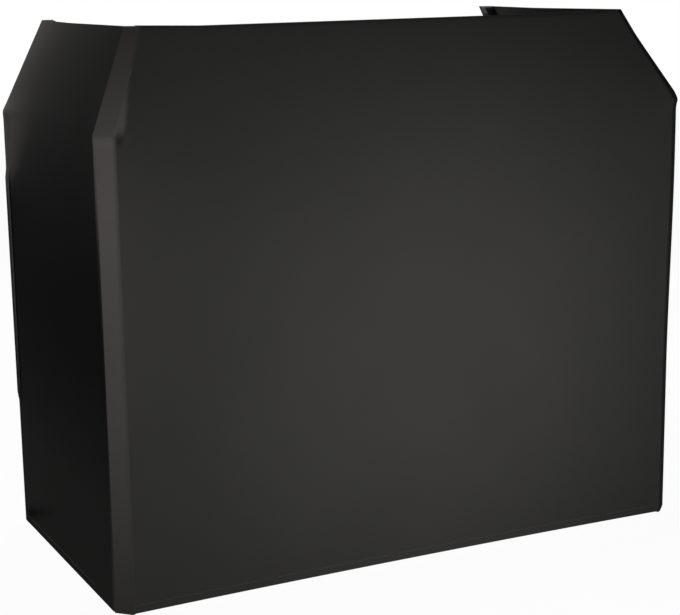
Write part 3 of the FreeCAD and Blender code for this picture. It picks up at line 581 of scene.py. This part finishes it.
# %% [markdown]
# ## The sides
#
# Each side panel runs from the front sheet to the rear post. One slanting wrinkle runs up from the rear
# bottom corner, where the hem is pulled hardest. Its tone is painted light and shade: painted light beside
# the rear post from the table upwards, painted shade at mid height and in the wrinkle, and a little painted
# bounce light by the hem.

# %% Side panels
SIDE_PANEL_COLUMNS = 48
SIDE_EVEN = 0.4
WRINKLE_REAR = Vector((0.312, 0.030))
WRINKLE_FRONT = Vector((0.090, 0.100))
WRINKLE_PUSH = 0.003
WRINKLE_WIDTH = 0.010
WRINKLE_SHADE = -1.3
REAR_EDGE_LIGHT = 0.46
BAND_LIGHT = 1.25
BAND_LOW = 0.780
BAND_SOFT = 0.085
BAND_MIDDLE = 0.930
BAND_REACH = 0.068
NARROW_REACH = 0.065
HOOD_REACH = 0.150


def wrinkle_push(y, height):
    """How far the corner wrinkle stands out."""
    along = WRINKLE_FRONT - WRINKLE_REAR
    offset = Vector((y, height)) - WRINKLE_REAR
    share = min(max(offset.dot(along) / along.length_squared, 0.0), 1.0)
    away = (offset - along * share).length / WRINKLE_WIDTH
    free = min(1.0, (SIDE_END - y) / WRINKLE_WIDTH)
    return WRINKLE_PUSH * free * (1 - share) * math.exp(-away * away)


def rear_edge_light(y, height):
    """Painted light towards the rear post: most above the table, where the post bends."""
    on_band = min(max((height - BAND_LOW) / BAND_SOFT, 0.0), 1.0)
    past = max(0.0, height - BAND_MIDDLE) / BAND_REACH
    reach = NARROW_REACH + (HOOD_REACH - NARROW_REACH) * min(1.0, max(0.0, hood_share(height)))
    return (REAR_EDGE_LIGHT + BAND_LIGHT * math.exp(-past * past)) * on_band * math.exp((y - SIDE_END) / reach)


def side_panel(side):
    """One side panel as a grid, from the rear post forwards on the left and the other way on the right."""
    def place(column, height):
        share = column / SIDE_PANEL_COLUMNS
        if side < 0:
            share = 1 - share
        even = SIDE_EVEN * share + (1 - SIDE_EVEN) * (1 - math.cos(share * math.pi)) / 2
        y = SPLIT + (SIDE_END - SPLIT) * even
        x = side_reach(side, y, height) + wrinkle_push(y, height)
        lifted = height + corner_lift(height, y - side_edge(height)[1])
        return Vector((side * x, y, lifted)), y
    cloth, grid = cloth_grid(SIDE_PANEL_COLUMNS, ROWS, place)
    # Each vertex gets painted light by the rear post, painted shade at mid height and in the wrinkle, and
    # painted bounce light by the hem.
    for (_, row), vert in grid.items():
        height = ROWS[row]
        wrinkle_shade = WRINKLE_SHADE * wrinkle_push(vert.co.y, height) / WRINKLE_PUSH
        paint_tone(cloth, [vert], rear_edge_light(vert.co.y, height) + wall_shade_and_bounce(height) + wrinkle_shade)
    return cloth


side_covers = {}
for name, side in SIDES.items():
    cover = cloth_piece(name + "_side_cover", side_panel(side), "front_frame")
    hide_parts(name + "_side_scrim")
    side_covers[name] = cover

# %% [markdown]
# ## The rear flaps
#
# At the back, each side's cloth turns round the post and is held inside it by tabs between the rails. The
# flap rides on the rear frame. Its plan is a line of points, with a few for each rounded corner, and the
# grid follows that line up the post. Faces of the inner tabs that lie beside a rail are deleted, because
# the cloth is cut away there for the rail's end plate.

# %% Rear flaps
FLAP_WIDTH = 0.029
POST_TAB_X = HALF_WIDTH - FLAP_WIDTH
REAR = cad_high.y
TURN = 0.003
CORNER_CUT = 0.3 * TURN
FLAT_START = 0.010
TAB_MIDDLE = 0.012
TAB_DEPTH = 0.020
FLAP_PLAN = [
    (POST_TAB_X, REAR - TAB_DEPTH),
    (POST_TAB_X, REAR - TAB_MIDDLE),
    (POST_TAB_X, REAR - TURN),
    (POST_TAB_X + CORNER_CUT, REAR - CORNER_CUT),
    (POST_TAB_X + TURN, REAR),
    (POST_TAB_X + FLAT_START, REAR),
    (HALF_WIDTH - FLAT_START, REAR),
    (HALF_WIDTH - TURN, REAR),
    (HALF_WIDTH - CORNER_CUT, REAR - CORNER_CUT),
    (HALF_WIDTH, REAR - TURN),
    (HALF_WIDTH, REAR - TAB_MIDDLE),
    (HALF_WIDTH, SIDE_END),
]
REAR_STEPS = range(3, 11)
OUTER_STEPS = range(7, len(FLAP_PLAN))
FLAP_STEP = 0.008
TAB_SPANS = [(0.012, 0.260), (0.364, 0.7835), (0.8875, 1.1635)]
PROUD_LOW = 0.30
PROUD_HIGH = 0.85
PROUD = 0.0025
PROUD_RAMP = 0.02
LIGHT_LINE_FADE = 0.25


def rear_flap(side):
    """One rear flap: the plan line carried up the post."""
    last = len(FLAP_PLAN) - 1

    def place(column, height):
        step = column if side < 0 else last - column
        x, y = FLAP_PLAN[step]
        swell = 0.0
        if PROUD_LOW < height < PROUD_HIGH:
            to_end = min(height - PROUD_LOW, PROUD_HIGH - height)
            swell = PROUD * min(1.0, to_end / PROUD_RAMP)
        if step in REAR_STEPS:
            y += swell
        if step in OUTER_STEPS:
            x += swell
        return Vector((side * (x - INSET * hood_share(height)), y, height)), step * FLAP_STEP

    cloth, grid = cloth_grid(last, ROWS, place)
    # The flap gets the same painted light as the side beside the rear post.
    for vert in grid.values():
        paint_tone(cloth, [vert], rear_edge_light(SIDE_END, vert.co.z))
    # A thin line of painted light runs up the flap's outer edge where it stands proud.
    edge_column = last if side < 0 else 0
    for j, height in enumerate(ROWS):
        if PROUD_LOW < height < PROUD_HIGH:
            paint_tone(cloth, [grid[edge_column, j]], min(1.0, (height - PROUD_LOW) / LIGHT_LINE_FADE))
    tab_limit = POST_TAB_X + 0.5 * TURN
    cut = []
    for face in cloth.faces:
        centre = face.calc_center_median()
        inner = abs(centre.x) + INSET * hood_share(centre.z) < tab_limit
        held = any(low < centre.z < high for low, high in TAB_SPANS)
        if inner and not held:
            cut.append(face)
    bmesh.ops.delete(cloth, geom=cut, context="FACES")
    return cloth


flap_covers = {}
for name, side in SIDES.items():
    cover = cloth_piece(name + "_rear_cover", rear_flap(side), "rear_frame")
    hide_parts(name + "_rear_flap")
    flap_covers[name] = cover

# %% [markdown]
# ## Stitches
#
# The hem is turned up and sewn with a plain running stitch. Each stitch is a short six-sided bar, because
# it is repeated hundreds of times and never seen closely. A row of them is laid along a line of points, one
# stitch for every few millimetres.

# %% Hem stitches
STITCH_LENGTH = 0.0032
STITCH_PITCH = 0.0050
STITCH_RADIUS = 0.00035
STITCH_RISE = 0.017
STITCH_SHOW = 0.6


def stitch_row(stitches, points):
    """Lay stitches along a line of points."""
    carry = STITCH_PITCH
    for start, end in zip(points, points[1:]):
        run = end - start
        turn = run.to_track_quat("Z", "Y").to_matrix().to_4x4()
        while carry < run.length:
            centre = Matrix.Translation(start + run * (carry / run.length))
            bmesh.ops.create_cone(
                stitches, cap_ends=True, segments=6, radius1=STITCH_RADIUS, radius2=STITCH_RADIUS,
                depth=STITCH_LENGTH, matrix=centre @ turn)
            carry += STITCH_PITCH
        carry -= run.length


def stitch_piece(name, lines, body):
    """One object that holds the stitches along several lines."""
    stitches = bmesh.new()
    for points in lines:
        stitch_row(stitches, points)
    piece = new_object(name, stitches)
    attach(piece, body)
    print(name, "faces:", len(piece.data.polygons))
    return piece


def off_cloth(points, outward):
    """Points moved a little off the cloth."""
    return [p + outward * (STITCH_RADIUS * STITCH_SHOW) for p in points]


hem_height = HEM + STITCH_RISE
front_line = []
for column in range(EDGE_COLUMNS, SHEET_COLUMNS - EDGE_COLUMNS + 1):
    front_line.append(front_sheet_place(column, hem_height)[0])
front_lines = [off_cloth(front_line, Vector((0, -1, 0)))]
front_stitches = stitch_piece("front_hem_stitches", front_lines, "front_frame")
side_stitches = {}
for name, side in SIDES.items():
    line = []
    for i in range(SIDE_PANEL_COLUMNS + 1):
        y = SPLIT + (SIDE_END - SPLIT) * i / SIDE_PANEL_COLUMNS
        x = side_reach(side, y, hem_height) + wrinkle_push(y, hem_height)
        line.append(Vector((side * x, y, hem_height)))
    lines = [off_cloth(line, Vector((side, 0, 0)))]
    side_stitches[name] = stitch_piece(name + "_hem_stitches", lines, "front_frame")

# %% [markdown]
# ## Hem straps
#
# A short strap of webbing goes round the back of each corner tube near the floor and keeps the hem down.
# Its plan is a C with two round corners, turned with the tube. The same cloth grid carries it up, and a
# thickness modifier makes it webbing.

# %% Hem straps
STRAP_LOW = 0.018
STRAP_HEIGHT = 0.025
STRAP_ROUND = 0.004
STRAP_MOUTH = 0.0026
STRAP_DEPTH = 0.0208
STRAP_THICKNESS = 0.0011
STRAP_ROWS = 4
HALF_STRAP = 0.0233
TUBE_INSET = 0.00106


def strap_plan():
    """The strap's C in plan: distance along the tube's wide face, and inwards from it."""
    points = [(-HALF_STRAP, STRAP_MOUTH), (-HALF_STRAP, STRAP_DEPTH - STRAP_ROUND)]
    for third in range(1, 4):
        angle = third * math.pi / 6
        points.append((
            -HALF_STRAP + STRAP_ROUND * (1 - math.cos(angle)),
            STRAP_DEPTH - STRAP_ROUND * (1 - math.sin(angle))))
    return points + [(-along, inward) for along, inward in reversed(points)]


corner_x = HALF_WIDTH - BEVEL / 2 - TUBE_INSET
corner_y = FRONT + BEVEL / 2 + TUBE_INSET
diagonal = math.sqrt(0.5)
strap_line = strap_plan()


def strap_grid(side):
    """One strap as a grid that follows the C."""
    def place(column, height):
        along, inward = strap_line[column if side < 0 else len(strap_line) - 1 - column]
        x = -corner_x + diagonal * (along + inward)
        y = corner_y + diagonal * (inward - along)
        return Vector((-side * x, y, height)), along
    heights = even_rows(STRAP_LOW, STRAP_LOW + STRAP_HEIGHT, STRAP_ROWS)
    return cloth_grid(len(strap_line) - 1, heights, place)[0]


straps = []
for name, side in SIDES.items():
    strap = cloth_piece(name + "_hem_strap", strap_grid(side), "front_frame", STRAP_THICKNESS)
    straps.append(strap)
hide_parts("hem_straps")

# %% [markdown]
# ## Finishes
#
# Each finish is a node material on the Principled shader. A value that is the same all over sits on the
# shader's own socket. Only what really changes over the surface, such as weave, grain or wear, goes through
# nodes. The helpers below add a node and fill in its inputs by name, and do the few things that most of the
# finishes share.

# %% Material helpers
def fill_inputs(node, **values):
    """Set a node's inputs by name."""
    for name, value in values.items():
        node.inputs[name.replace("_", " ")].default_value = value


def new_finish(name, colour, roughness, **values):
    """A Principled material, with its nodes and its shader."""
    material = bpy.data.materials.new(name)
    material.use_nodes = True
    tree = material.node_tree
    shader = tree.nodes["Principled BSDF"]
    fill_inputs(shader, Base_Color=(*colour, 1.0), Roughness=roughness, **values)
    return material, tree, shader


def add_node(tree, kind, **values):
    """A node of one kind, with its inputs set by name."""
    node = tree.nodes.new("ShaderNode" + kind)
    fill_inputs(node, **values)
    return node


def add_texture(tree, kind, where, **values):
    """A texture node that reads a place on the surface."""
    texture = add_node(tree, kind, **values)
    tree.links.new(where, texture.inputs["Vector"])
    return texture


def grey(level):
    """A colour with as much red as green and blue."""
    return (level, level, level)


def ramp_between(tree, factor, low, high, first, last):
    """A colour ramp between two colours, from one factor to another."""
    ramp = tree.nodes.new("ShaderNodeValToRGB")
    ramp.color_ramp.elements[0].position = low
    ramp.color_ramp.elements[0].color = (*first, 1.0)
    ramp.color_ramp.elements[1].position = high
    ramp.color_ramp.elements[1].color = (*last, 1.0)
    tree.links.new(factor, ramp.inputs["Fac"])
    return ramp.outputs["Color"]


def vary(tree, socket, factor, low, high, first, last):
    """Fill a socket from a ramp between two colours."""
    tree.links.new(ramp_between(tree, factor, low, high, first, last), socket)


def product(tree, first, second):
    """Two values multiplied."""
    times = tree.nodes.new("ShaderNodeMath")
    times.operation = "MULTIPLY"
    tree.links.new(first, times.inputs[0])
    tree.links.new(second, times.inputs[1])
    return times.outputs[0]


def grain_bump(tree, shader, height, strength, distance):
    """Send a height to the shader's normal through a bump node."""
    bump = add_node(tree, "Bump", Strength=strength, Distance=distance)
    tree.links.new(height, bump.inputs["Height"])
    tree.links.new(bump.outputs["Normal"], shader.inputs["Normal"])


def wave_scale(period):
    """Blender's wave texture repeats every pi / 10 units at a scale of 1."""
    return math.pi / 10 / period


def place_of_surface(tree):
    """The point of the surface in the object's own space."""
    return tree.nodes.new("ShaderNodeTexCoord").outputs["Object"]


def place_on_cloth(tree):
    """The point of the surface on the flat cloth."""
    cloth_map = tree.nodes.new("ShaderNodeUVMap")
    cloth_map.uv_map = "knit"
    return cloth_map.outputs["UV"]


print("helpers ready")

# %% [markdown]
# ### Black stretch knit
#
# The cover is a fine black jersey. It has a weak fuzz that brightens at grazing angles, which the shader's
# sheen gives. The rows of loops are about a millimetre apart, so two wave textures along the cloth's own UV
# map are enough. Soft clouds vary the black a little, and the tone attribute from before paints light and
# shade into the colour: greyer where light is painted, partly for the stretch over a tube, and blacker
# where shade is painted.

# %% Knit
LOOP_WIDTH = 0.0011
LOOP_HEIGHT = 0.0014
# The tone ramp runs from a painted-shade black through the plain knit to a painted-light grey, which is
# partly the greyer look of stretched knit.
SHADED_KNIT = grey(0.008)
PLAIN_KNIT = (0.0385, 0.0375, 0.0365)
TIGHT_AND_LIT_KNIT = (0.153, 0.142, 0.139)


def knit_finish():
    """Fine jersey with light and shade painted into its colour: greyer where light is painted, partly for
    stretch, blacker where shade is painted.
    """
    material, tree, shader = new_finish(
        "black_knit", PLAIN_KNIT, 0.9, Specular_IOR_Level=0.0, Sheen_Weight=0.04,
        Sheen_Roughness=0.45, Sheen_Tint=(0.55, 0.54, 0.53, 1.0))
    where = place_on_cloth(tree)
    columns = add_texture(
        tree, "TexWave", where, Scale=wave_scale(LOOP_WIDTH), Distortion=0.6, Detail=1.0)
    rows = add_texture(
        tree, "TexWave", where, Scale=wave_scale(LOOP_HEIGHT), Distortion=0.8, Detail=1.0)
    rows.bands_direction = "Y"
    loops = product(tree, columns.outputs["Fac"], rows.outputs["Fac"])
    grain_bump(tree, shader, loops, strength=0.25, distance=0.0003)
    # The tone attribute paints light and shade into the base colour.
    stretch_and_painted_light = tree.nodes.new("ShaderNodeAttribute")
    stretch_and_painted_light.attribute_name = "stretch_and_painted_light"
    level = add_node(tree, "MapRange", From_Min=-1.0, From_Max=1.0)
    tree.links.new(stretch_and_painted_light.outputs["Fac"], level.inputs["Value"])
    ramp = tree.nodes.new("ShaderNodeValToRGB")
    ramp.color_ramp.elements.new(0.5)
    for stop, colour in zip(ramp.color_ramp.elements, (SHADED_KNIT, PLAIN_KNIT, TIGHT_AND_LIT_KNIT)):
        stop.color = (*colour, 1.0)
    tree.links.new(level.outputs["Result"], ramp.inputs["Fac"])
    clouds = add_texture(
        tree, "TexNoise", place_of_surface(tree), Scale=5.0, Detail=3.0, Roughness=0.55)
    cloth = tree.nodes.new("ShaderNodeMix")
    cloth.data_type = "RGBA"
    cloth.blend_type = "MULTIPLY"
    cloth.inputs["Factor"].default_value = 1.0
    tree.links.new(ramp.outputs["Color"], cloth.inputs["A"])
    vary(tree, cloth.inputs["B"], clouds.outputs["Fac"], 0.3, 0.7, grey(0.94), grey(1.0))
    tree.links.new(cloth.outputs["Result"], shader.inputs["Base Color"])
    return material


black_knit = knit_finish()
for piece in [front_cover, *side_covers.values(), *flap_covers.values()]:
    piece.data.materials.append(black_knit)
print("knit on", 1 + len(side_covers) + len(flap_covers), "pieces")

# %% [markdown]
# ### Thread and webbing
#
# The thread is a shade lighter than the knit, with a twist that a slanting wave gives. The straps are woven
# webbing: ribs across, and a finer weave along.

# %% Thread and webbing
TWIST = 0.0009
RIB_WIDTH = 0.0016
WEAVE_HEIGHT = 0.0009


def thread_finish():
    """Twisted sewing thread."""
    material, tree, shader = new_finish("black_thread", (0.05, 0.048, 0.047), 0.7)
    twist = add_texture(
        tree, "TexWave", place_of_surface(tree), Scale=wave_scale(TWIST), Distortion=0.3)
    twist.bands_direction = "DIAGONAL"
    grain_bump(tree, shader, twist.outputs["Fac"], strength=0.4, distance=0.0002)
    dark = (0.042, 0.04, 0.039)
    light = (0.06, 0.058, 0.056)
    vary(tree, shader.inputs["Base Color"], twist.outputs["Fac"], 0.2, 0.8, dark, light)
    return material


def webbing_finish():
    """Woven elastic webbing."""
    material, tree, shader = new_finish("black_webbing", grey(0.03), 0.75, Sheen_Weight=0.15)
    where = place_on_cloth(tree)
    ribs = add_texture(tree, "TexWave", where, Scale=wave_scale(RIB_WIDTH), Distortion=0.4)
    weave = add_texture(tree, "TexWave", where, Scale=wave_scale(WEAVE_HEIGHT), Distortion=0.4)
    weave.bands_direction = "Y"
    total = tree.nodes.new("ShaderNodeMath")
    tree.links.new(ribs.outputs["Fac"], total.inputs[0])
    tree.links.new(weave.outputs["Fac"], total.inputs[1])
    grain_bump(tree, shader, total.outputs[0], strength=0.5, distance=0.0004)
    light = (0.042, 0.041, 0.04)
    vary(tree, shader.inputs["Base Color"], ribs.outputs["Fac"], 0.1, 0.9, grey(0.02), light)
    return material


black_thread = thread_finish()
black_webbing = webbing_finish()
for piece in [front_stitches, *side_stitches.values()]:
    piece.data.materials.append(black_thread)
for strap in straps:
    strap.data.materials.append(black_webbing)
print("thread and webbing done")

# %% [markdown]
# ### Powder coat on the frame
#
# The tubes, rails, brackets and stays are steel with a satin black powder coat. Such a coat has a fine
# orange peel, and it wears to grey on sharp edges. A bevel node gives the normal of a slightly rounded copy
# of the shape, so where it differs from the true normal there is an edge. Noise breaks the wear up.

# %% Powder coat
POWDER_BLACK = (0.024, 0.024, 0.025)
WORN_GREY = (0.16, 0.155, 0.15)
WEAR_RADIUS = 0.0012


def edge_mask(tree, radius, low, high):
    """White on the sharp edges of a shape, black elsewhere."""
    rounded = add_node(tree, "Bevel", Radius=radius)
    rounded.samples = 6
    true_normal = tree.nodes.new("ShaderNodeNewGeometry").outputs["Normal"]
    match = tree.nodes.new("ShaderNodeVectorMath")
    match.operation = "DOT_PRODUCT"
    tree.links.new(rounded.outputs["Normal"], match.inputs[0])
    tree.links.new(true_normal, match.inputs[1])
    return ramp_between(tree, match.outputs["Value"], low, high, grey(1), grey(0))


def powder_finish():
    """Satin powder coat with orange peel and worn edges."""
    material, tree, shader = new_finish("black_powder_coat", POWDER_BLACK, 0.5, Specular_IOR_Level=0.3)
    where = place_of_surface(tree)
    peel = add_texture(tree, "TexNoise", where, Scale=420.0, Detail=2.0, Roughness=0.5)
    grain_bump(tree, shader, peel.outputs["Fac"], strength=0.12, distance=0.0006)
    patches = add_texture(tree, "TexNoise", where, Scale=14.0, Detail=4.0, Roughness=0.6)
    vary(tree, shader.inputs["Roughness"], patches.outputs["Fac"], 0.3, 0.7, grey(0.46), grey(0.6))
    chips = add_texture(tree, "TexNoise", where, Scale=55.0, Detail=4.0, Roughness=0.7)
    broken = ramp_between(tree, chips.outputs["Fac"], 0.5, 0.66, grey(0), grey(1))
    worn = product(tree, edge_mask(tree, WEAR_RADIUS, 0.82, 0.97), broken)
    coat = tree.nodes.new("ShaderNodeMix")
    coat.data_type = "RGBA"
    tree.links.new(worn, coat.inputs["Factor"])
    fill_inputs(coat, A=(*POWDER_BLACK, 1.0), B=(*WORN_GREY, 1.0))
    tree.links.new(coat.outputs["Result"], shader.inputs["Base Color"])
    return material


powder_coat = powder_finish()
print("powder coat done")

# %% [markdown]
# ### Bright zinc and black oxide
#
# Hinges, rivets and screws are zinc plated. Zinc has faint crystals, which a cell texture gives as small
# steps in brightness, and a thin haze of wear. The frame's bolts are black oxide, a dark metal that is
# slightly oily.

# %% Metals of the fittings
def zinc_finish():
    """Bright zinc plate with faint crystals and a haze."""
    material, tree, shader = new_finish("bright_zinc", (0.6, 0.6, 0.58), 0.34, Metallic=1.0)
    where = place_of_surface(tree)
    crystals = add_texture(tree, "TexVoronoi", where, Scale=260.0)
    dark = (0.5, 0.5, 0.48)
    light = (0.68, 0.68, 0.66)
    vary(tree, shader.inputs["Base Color"], crystals.outputs["Color"], 0.0, 1.0, dark, light)
    haze = add_texture(tree, "TexNoise", where, Scale=90.0, Detail=4.0)
    vary(tree, shader.inputs["Roughness"], haze.outputs["Fac"], 0.3, 0.7, grey(0.26), grey(0.46))
    grain_bump(tree, shader, haze.outputs["Fac"], strength=0.06, distance=0.0004)
    return material


def oxide_finish():
    """Black oxide with a thin film of oil."""
    material, tree, shader = new_finish("black_oxide", (0.05, 0.05, 0.052), 0.38, Metallic=0.85)
    film = add_texture(tree, "TexNoise", place_of_surface(tree), Scale=300.0, Detail=3.0)
    dark = (0.035, 0.035, 0.037)
    light = (0.07, 0.069, 0.07)
    vary(tree, shader.inputs["Base Color"], film.outputs["Fac"], 0.3, 0.7, dark, light)
    grain_bump(tree, shader, film.outputs["Fac"], strength=0.1, distance=0.0003)
    return material


bright_zinc = zinc_finish()
black_oxide = oxide_finish()
print("metals done")

# %% [markdown]
# ### Laminate, edging, rubber and plastic
#
# The table leaves are board with a black laminate, which has a fine pebble and a few scuffs. The edging is
# plain plastic strip with faint drawn lines. The feet are rubber, greyed by dust near the floor, and the
# caps are moulded plastic with a spark texture.

# %% Board and plastics
EDGING_LINES = 0.0012
RUBBER_BLACK = grey(0.02)
DUST_HEIGHT = 0.008


def laminate_finish():
    """Pebbled laminate with a few scuffs."""
    material, tree, shader = new_finish("black_laminate", (0.03, 0.03, 0.031), 0.42)
    where = place_of_surface(tree)
    pebble = add_texture(tree, "TexVoronoi", where, Scale=900.0)
    grain_bump(tree, shader, pebble.outputs["Distance"], strength=0.12, distance=0.0003)
    scuffs = add_texture(
        tree, "TexNoise", where, Scale=9.0, Detail=8.0, Roughness=0.72, Distortion=1.2)
    dark = (0.028, 0.028, 0.029)
    light = (0.05, 0.05, 0.051)
    vary(tree, shader.inputs["Base Color"], scuffs.outputs["Fac"], 0.45, 0.75, dark, light)
    vary(tree, shader.inputs["Roughness"], scuffs.outputs["Fac"], 0.35, 0.7, grey(0.36), grey(0.55))
    return material


def edging_finish():
    """Plastic strip with faint drawn lines."""
    material, tree, shader = new_finish("black_edging", grey(0.03), 0.5)
    lines = add_texture(
        tree, "TexWave", place_of_surface(tree),
        Scale=wave_scale(EDGING_LINES), Distortion=2.0, Detail=2.0)
    lines.bands_direction = "Z"
    grain_bump(tree, shader, lines.outputs["Fac"], strength=0.08, distance=0.0003)
    vary(tree, shader.inputs["Base Color"], lines.outputs["Fac"], 0.0, 1.0, grey(0.026), grey(0.036))
    return material


def rubber_finish():
    """Rubber that is dusty near the floor."""
    material, tree, shader = new_finish("foot_rubber", RUBBER_BLACK, 0.8)
    where = place_of_surface(tree)
    grain = add_texture(tree, "TexNoise", where, Scale=700.0, Detail=2.0)
    grain_bump(tree, shader, grain.outputs["Fac"], strength=0.2, distance=0.0004)
    upright = tree.nodes.new("ShaderNodeSeparateXYZ")
    tree.links.new(where, upright.inputs[0])
    dusty = (0.034, 0.033, 0.031)
    vary(tree, shader.inputs["Base Color"], upright.outputs["Z"], 0.0, DUST_HEIGHT, dusty, RUBBER_BLACK)
    return material


def plastic_finish(name, colour, scale):
    """Moulded plastic with a spark texture."""
    material, tree, shader = new_finish(name, colour, 0.55)
    spark = add_texture(tree, "TexNoise", place_of_surface(tree), Scale=scale, Detail=3.0)
    grain_bump(tree, shader, spark.outputs["Fac"], strength=0.25, distance=0.0003)
    lighter = tuple(c * 1.5 for c in colour)
    vary(tree, shader.inputs["Base Color"], spark.outputs["Fac"], 0.35, 0.65, colour, lighter)
    return material


finishes = {
    "powder_coat": powder_coat,
    "black_bolt": black_oxide,
    "zinc_plate": bright_zinc,
    "foot_rubber": rubber_finish(),
    "cap_plastic": plastic_finish("cap_plastic", (0.025, 0.025, 0.026), 800.0),
    "hook_tape": plastic_finish("hook_tape", grey(0.018), 1500.0),
    "laminate": laminate_finish(),
    "edging": edging_finish(),
}
print("finishes:", len(finishes))

# %% [markdown]
# The record names a finish slot for every CAD node, so the materials are handed out from it. The nodes' own
# flat colours go.

# %% Give every CAD node its finish
dressed = 0
for part in frame["record"]["subparts"]:
    finish = finishes.get(part["material_slot"])
    if finish is not None:
        node_mesh = nodes[part["node"]].data
        node_mesh.materials.clear()
        node_mesh.materials.append(finish)
        dressed += 1
print("CAD nodes with a finish:", dressed)

# %% [markdown]
#
# The side panels and their stitches each get a mesh of their own.

# %% Own meshes for the side pieces
for name in SIDES:
    for piece in (side_covers[name], side_stitches[name]):
        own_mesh(piece)

# %% [markdown]
# ## Studio
#
# A pale floor and white all round. A beam from low in front makes the soft pool of light on the front
# panel, and two weaker square lamps beside it fill its edges and the left strip. A small lamp above lights
# the left side's hood, and a large one stands behind. The world looks white to the camera and in
# reflections, but lights the booth only weakly, so the side that faces away from the lamps stays dark.

# %% Floor and world
WORLD_LIGHT = 0.012
FLOOR_SIZE = 8.0
FLOOR_GLOW = 0.96


def white_for_camera(tree):
    """1 for camera, glossy and transmission rays, 0 for the rest."""
    rays = tree.nodes.new("ShaderNodeLightPath")
    total = rays.outputs["Is Camera Ray"]
    for name in ("Is Glossy Ray", "Is Transmission Ray"):
        either = tree.nodes.new("ShaderNodeMath")
        either.operation = "MAXIMUM"
        tree.links.new(total, either.inputs[0])
        tree.links.new(rays.outputs[name], either.inputs[1])
        total = either.outputs[0]
    return total


def blend_to_output(tree, share, first, last, output):
    """Blend two shaders by a share into an output node of one kind."""
    blend = tree.nodes.new("ShaderNodeMixShader")
    end = tree.nodes.new("ShaderNode" + output)
    tree.links.new(share, blend.inputs["Fac"])
    tree.links.new(first.outputs[0], blend.inputs[1])
    tree.links.new(last.outputs[0], blend.inputs[2])
    tree.links.new(blend.outputs[0], end.inputs["Surface"])


world = bpy.data.worlds.new("studio")
bpy.context.scene.world = world
world.use_nodes = True
sky = world.node_tree
sky.nodes.clear()
dim = add_node(sky, "Background", Color=(1, 1, 1, 1), Strength=WORLD_LIGHT)
white = add_node(sky, "Background", Color=(1, 1, 1, 1), Strength=1.0)
blend_to_output(sky, white_for_camera(sky), dim, white, "OutputWorld")

floor_shape = bmesh.new()
bmesh.ops.create_grid(floor_shape, x_segments=1, y_segments=1, size=FLOOR_SIZE)
floor = new_object("floor", floor_shape)

floor_material = bpy.data.materials.new("pale_floor")
floor_material.use_nodes = True
ground = floor_material.node_tree
ground.nodes.clear()
matte = add_node(ground, "BsdfDiffuse", Color=(0.85, 0.85, 0.85, 1))
glow = add_node(ground, "Emission", Color=(1, 1, 1, 1), Strength=1.0)
share = ground.nodes.new("ShaderNodeMath")
share.operation = "MULTIPLY"
share.inputs[1].default_value = FLOOR_GLOW
ground.links.new(white_for_camera(ground), share.inputs[0])
blend_to_output(ground, share.outputs[0], matte, glow, "OutputMaterial")
floor.data.materials.append(floor_material)
print("floor and world ready")

# %% Lamps
def aim(lamp, place, target):
    """Put a lamp in the scene so that it faces a point."""
    lamp.location = place
    lamp.rotation_euler = (Vector(target) - Vector(place)).to_track_quat("-Z", "Y").to_euler()
    lamp.visible_camera = False
    bpy.context.scene.collection.objects.link(lamp)


def beam_lamp(name, place, target, size, power, beam):
    """A round lamp with a beam that fades from its middle to its edge."""
    lamp_data = bpy.data.lights.new(name, "SPOT")
    lamp_data.shadow_soft_size = size
    lamp_data.energy = power
    lamp_data.spot_size = math.radians(beam)
    lamp_data.spot_blend = 1.0
    aim(bpy.data.objects.new(name, lamp_data), place, target)


def soft_lamp(name, place, target, size, power):
    """A square area lamp that faces a point."""
    lamp_data = bpy.data.lights.new(name, "AREA")
    lamp_data.shape = "SQUARE"
    lamp_data.size = size
    lamp_data.energy = power
    aim(bpy.data.objects.new(name, lamp_data), place, target)


beam_lamp("key_lamp", (0.24, -2.60, 0.76), (0.10, -0.33, 0.50), size=0.25, power=76.0, beam=33.6)
soft_lamp("left_lamp", (-0.85, -2.40, 0.89), (-0.30, -0.30, 0.50), size=0.5, power=14.5)
soft_lamp("fill_lamp", (0.10, -1.70, 0.42), (0.10, -0.30, 0.50), size=0.6, power=8.1)
soft_lamp("hood_lamp", (-1.00, 0.70, 2.10), (-0.65, 0.20, 1.00), size=0.3, power=10.2)
soft_lamp("rear_lamp", (1.30, 2.80, 1.80), (0.0, 0.0, 0.5), size=1.0, power=60.0)
bpy.context.scene.view_settings.view_transform = "Standard"
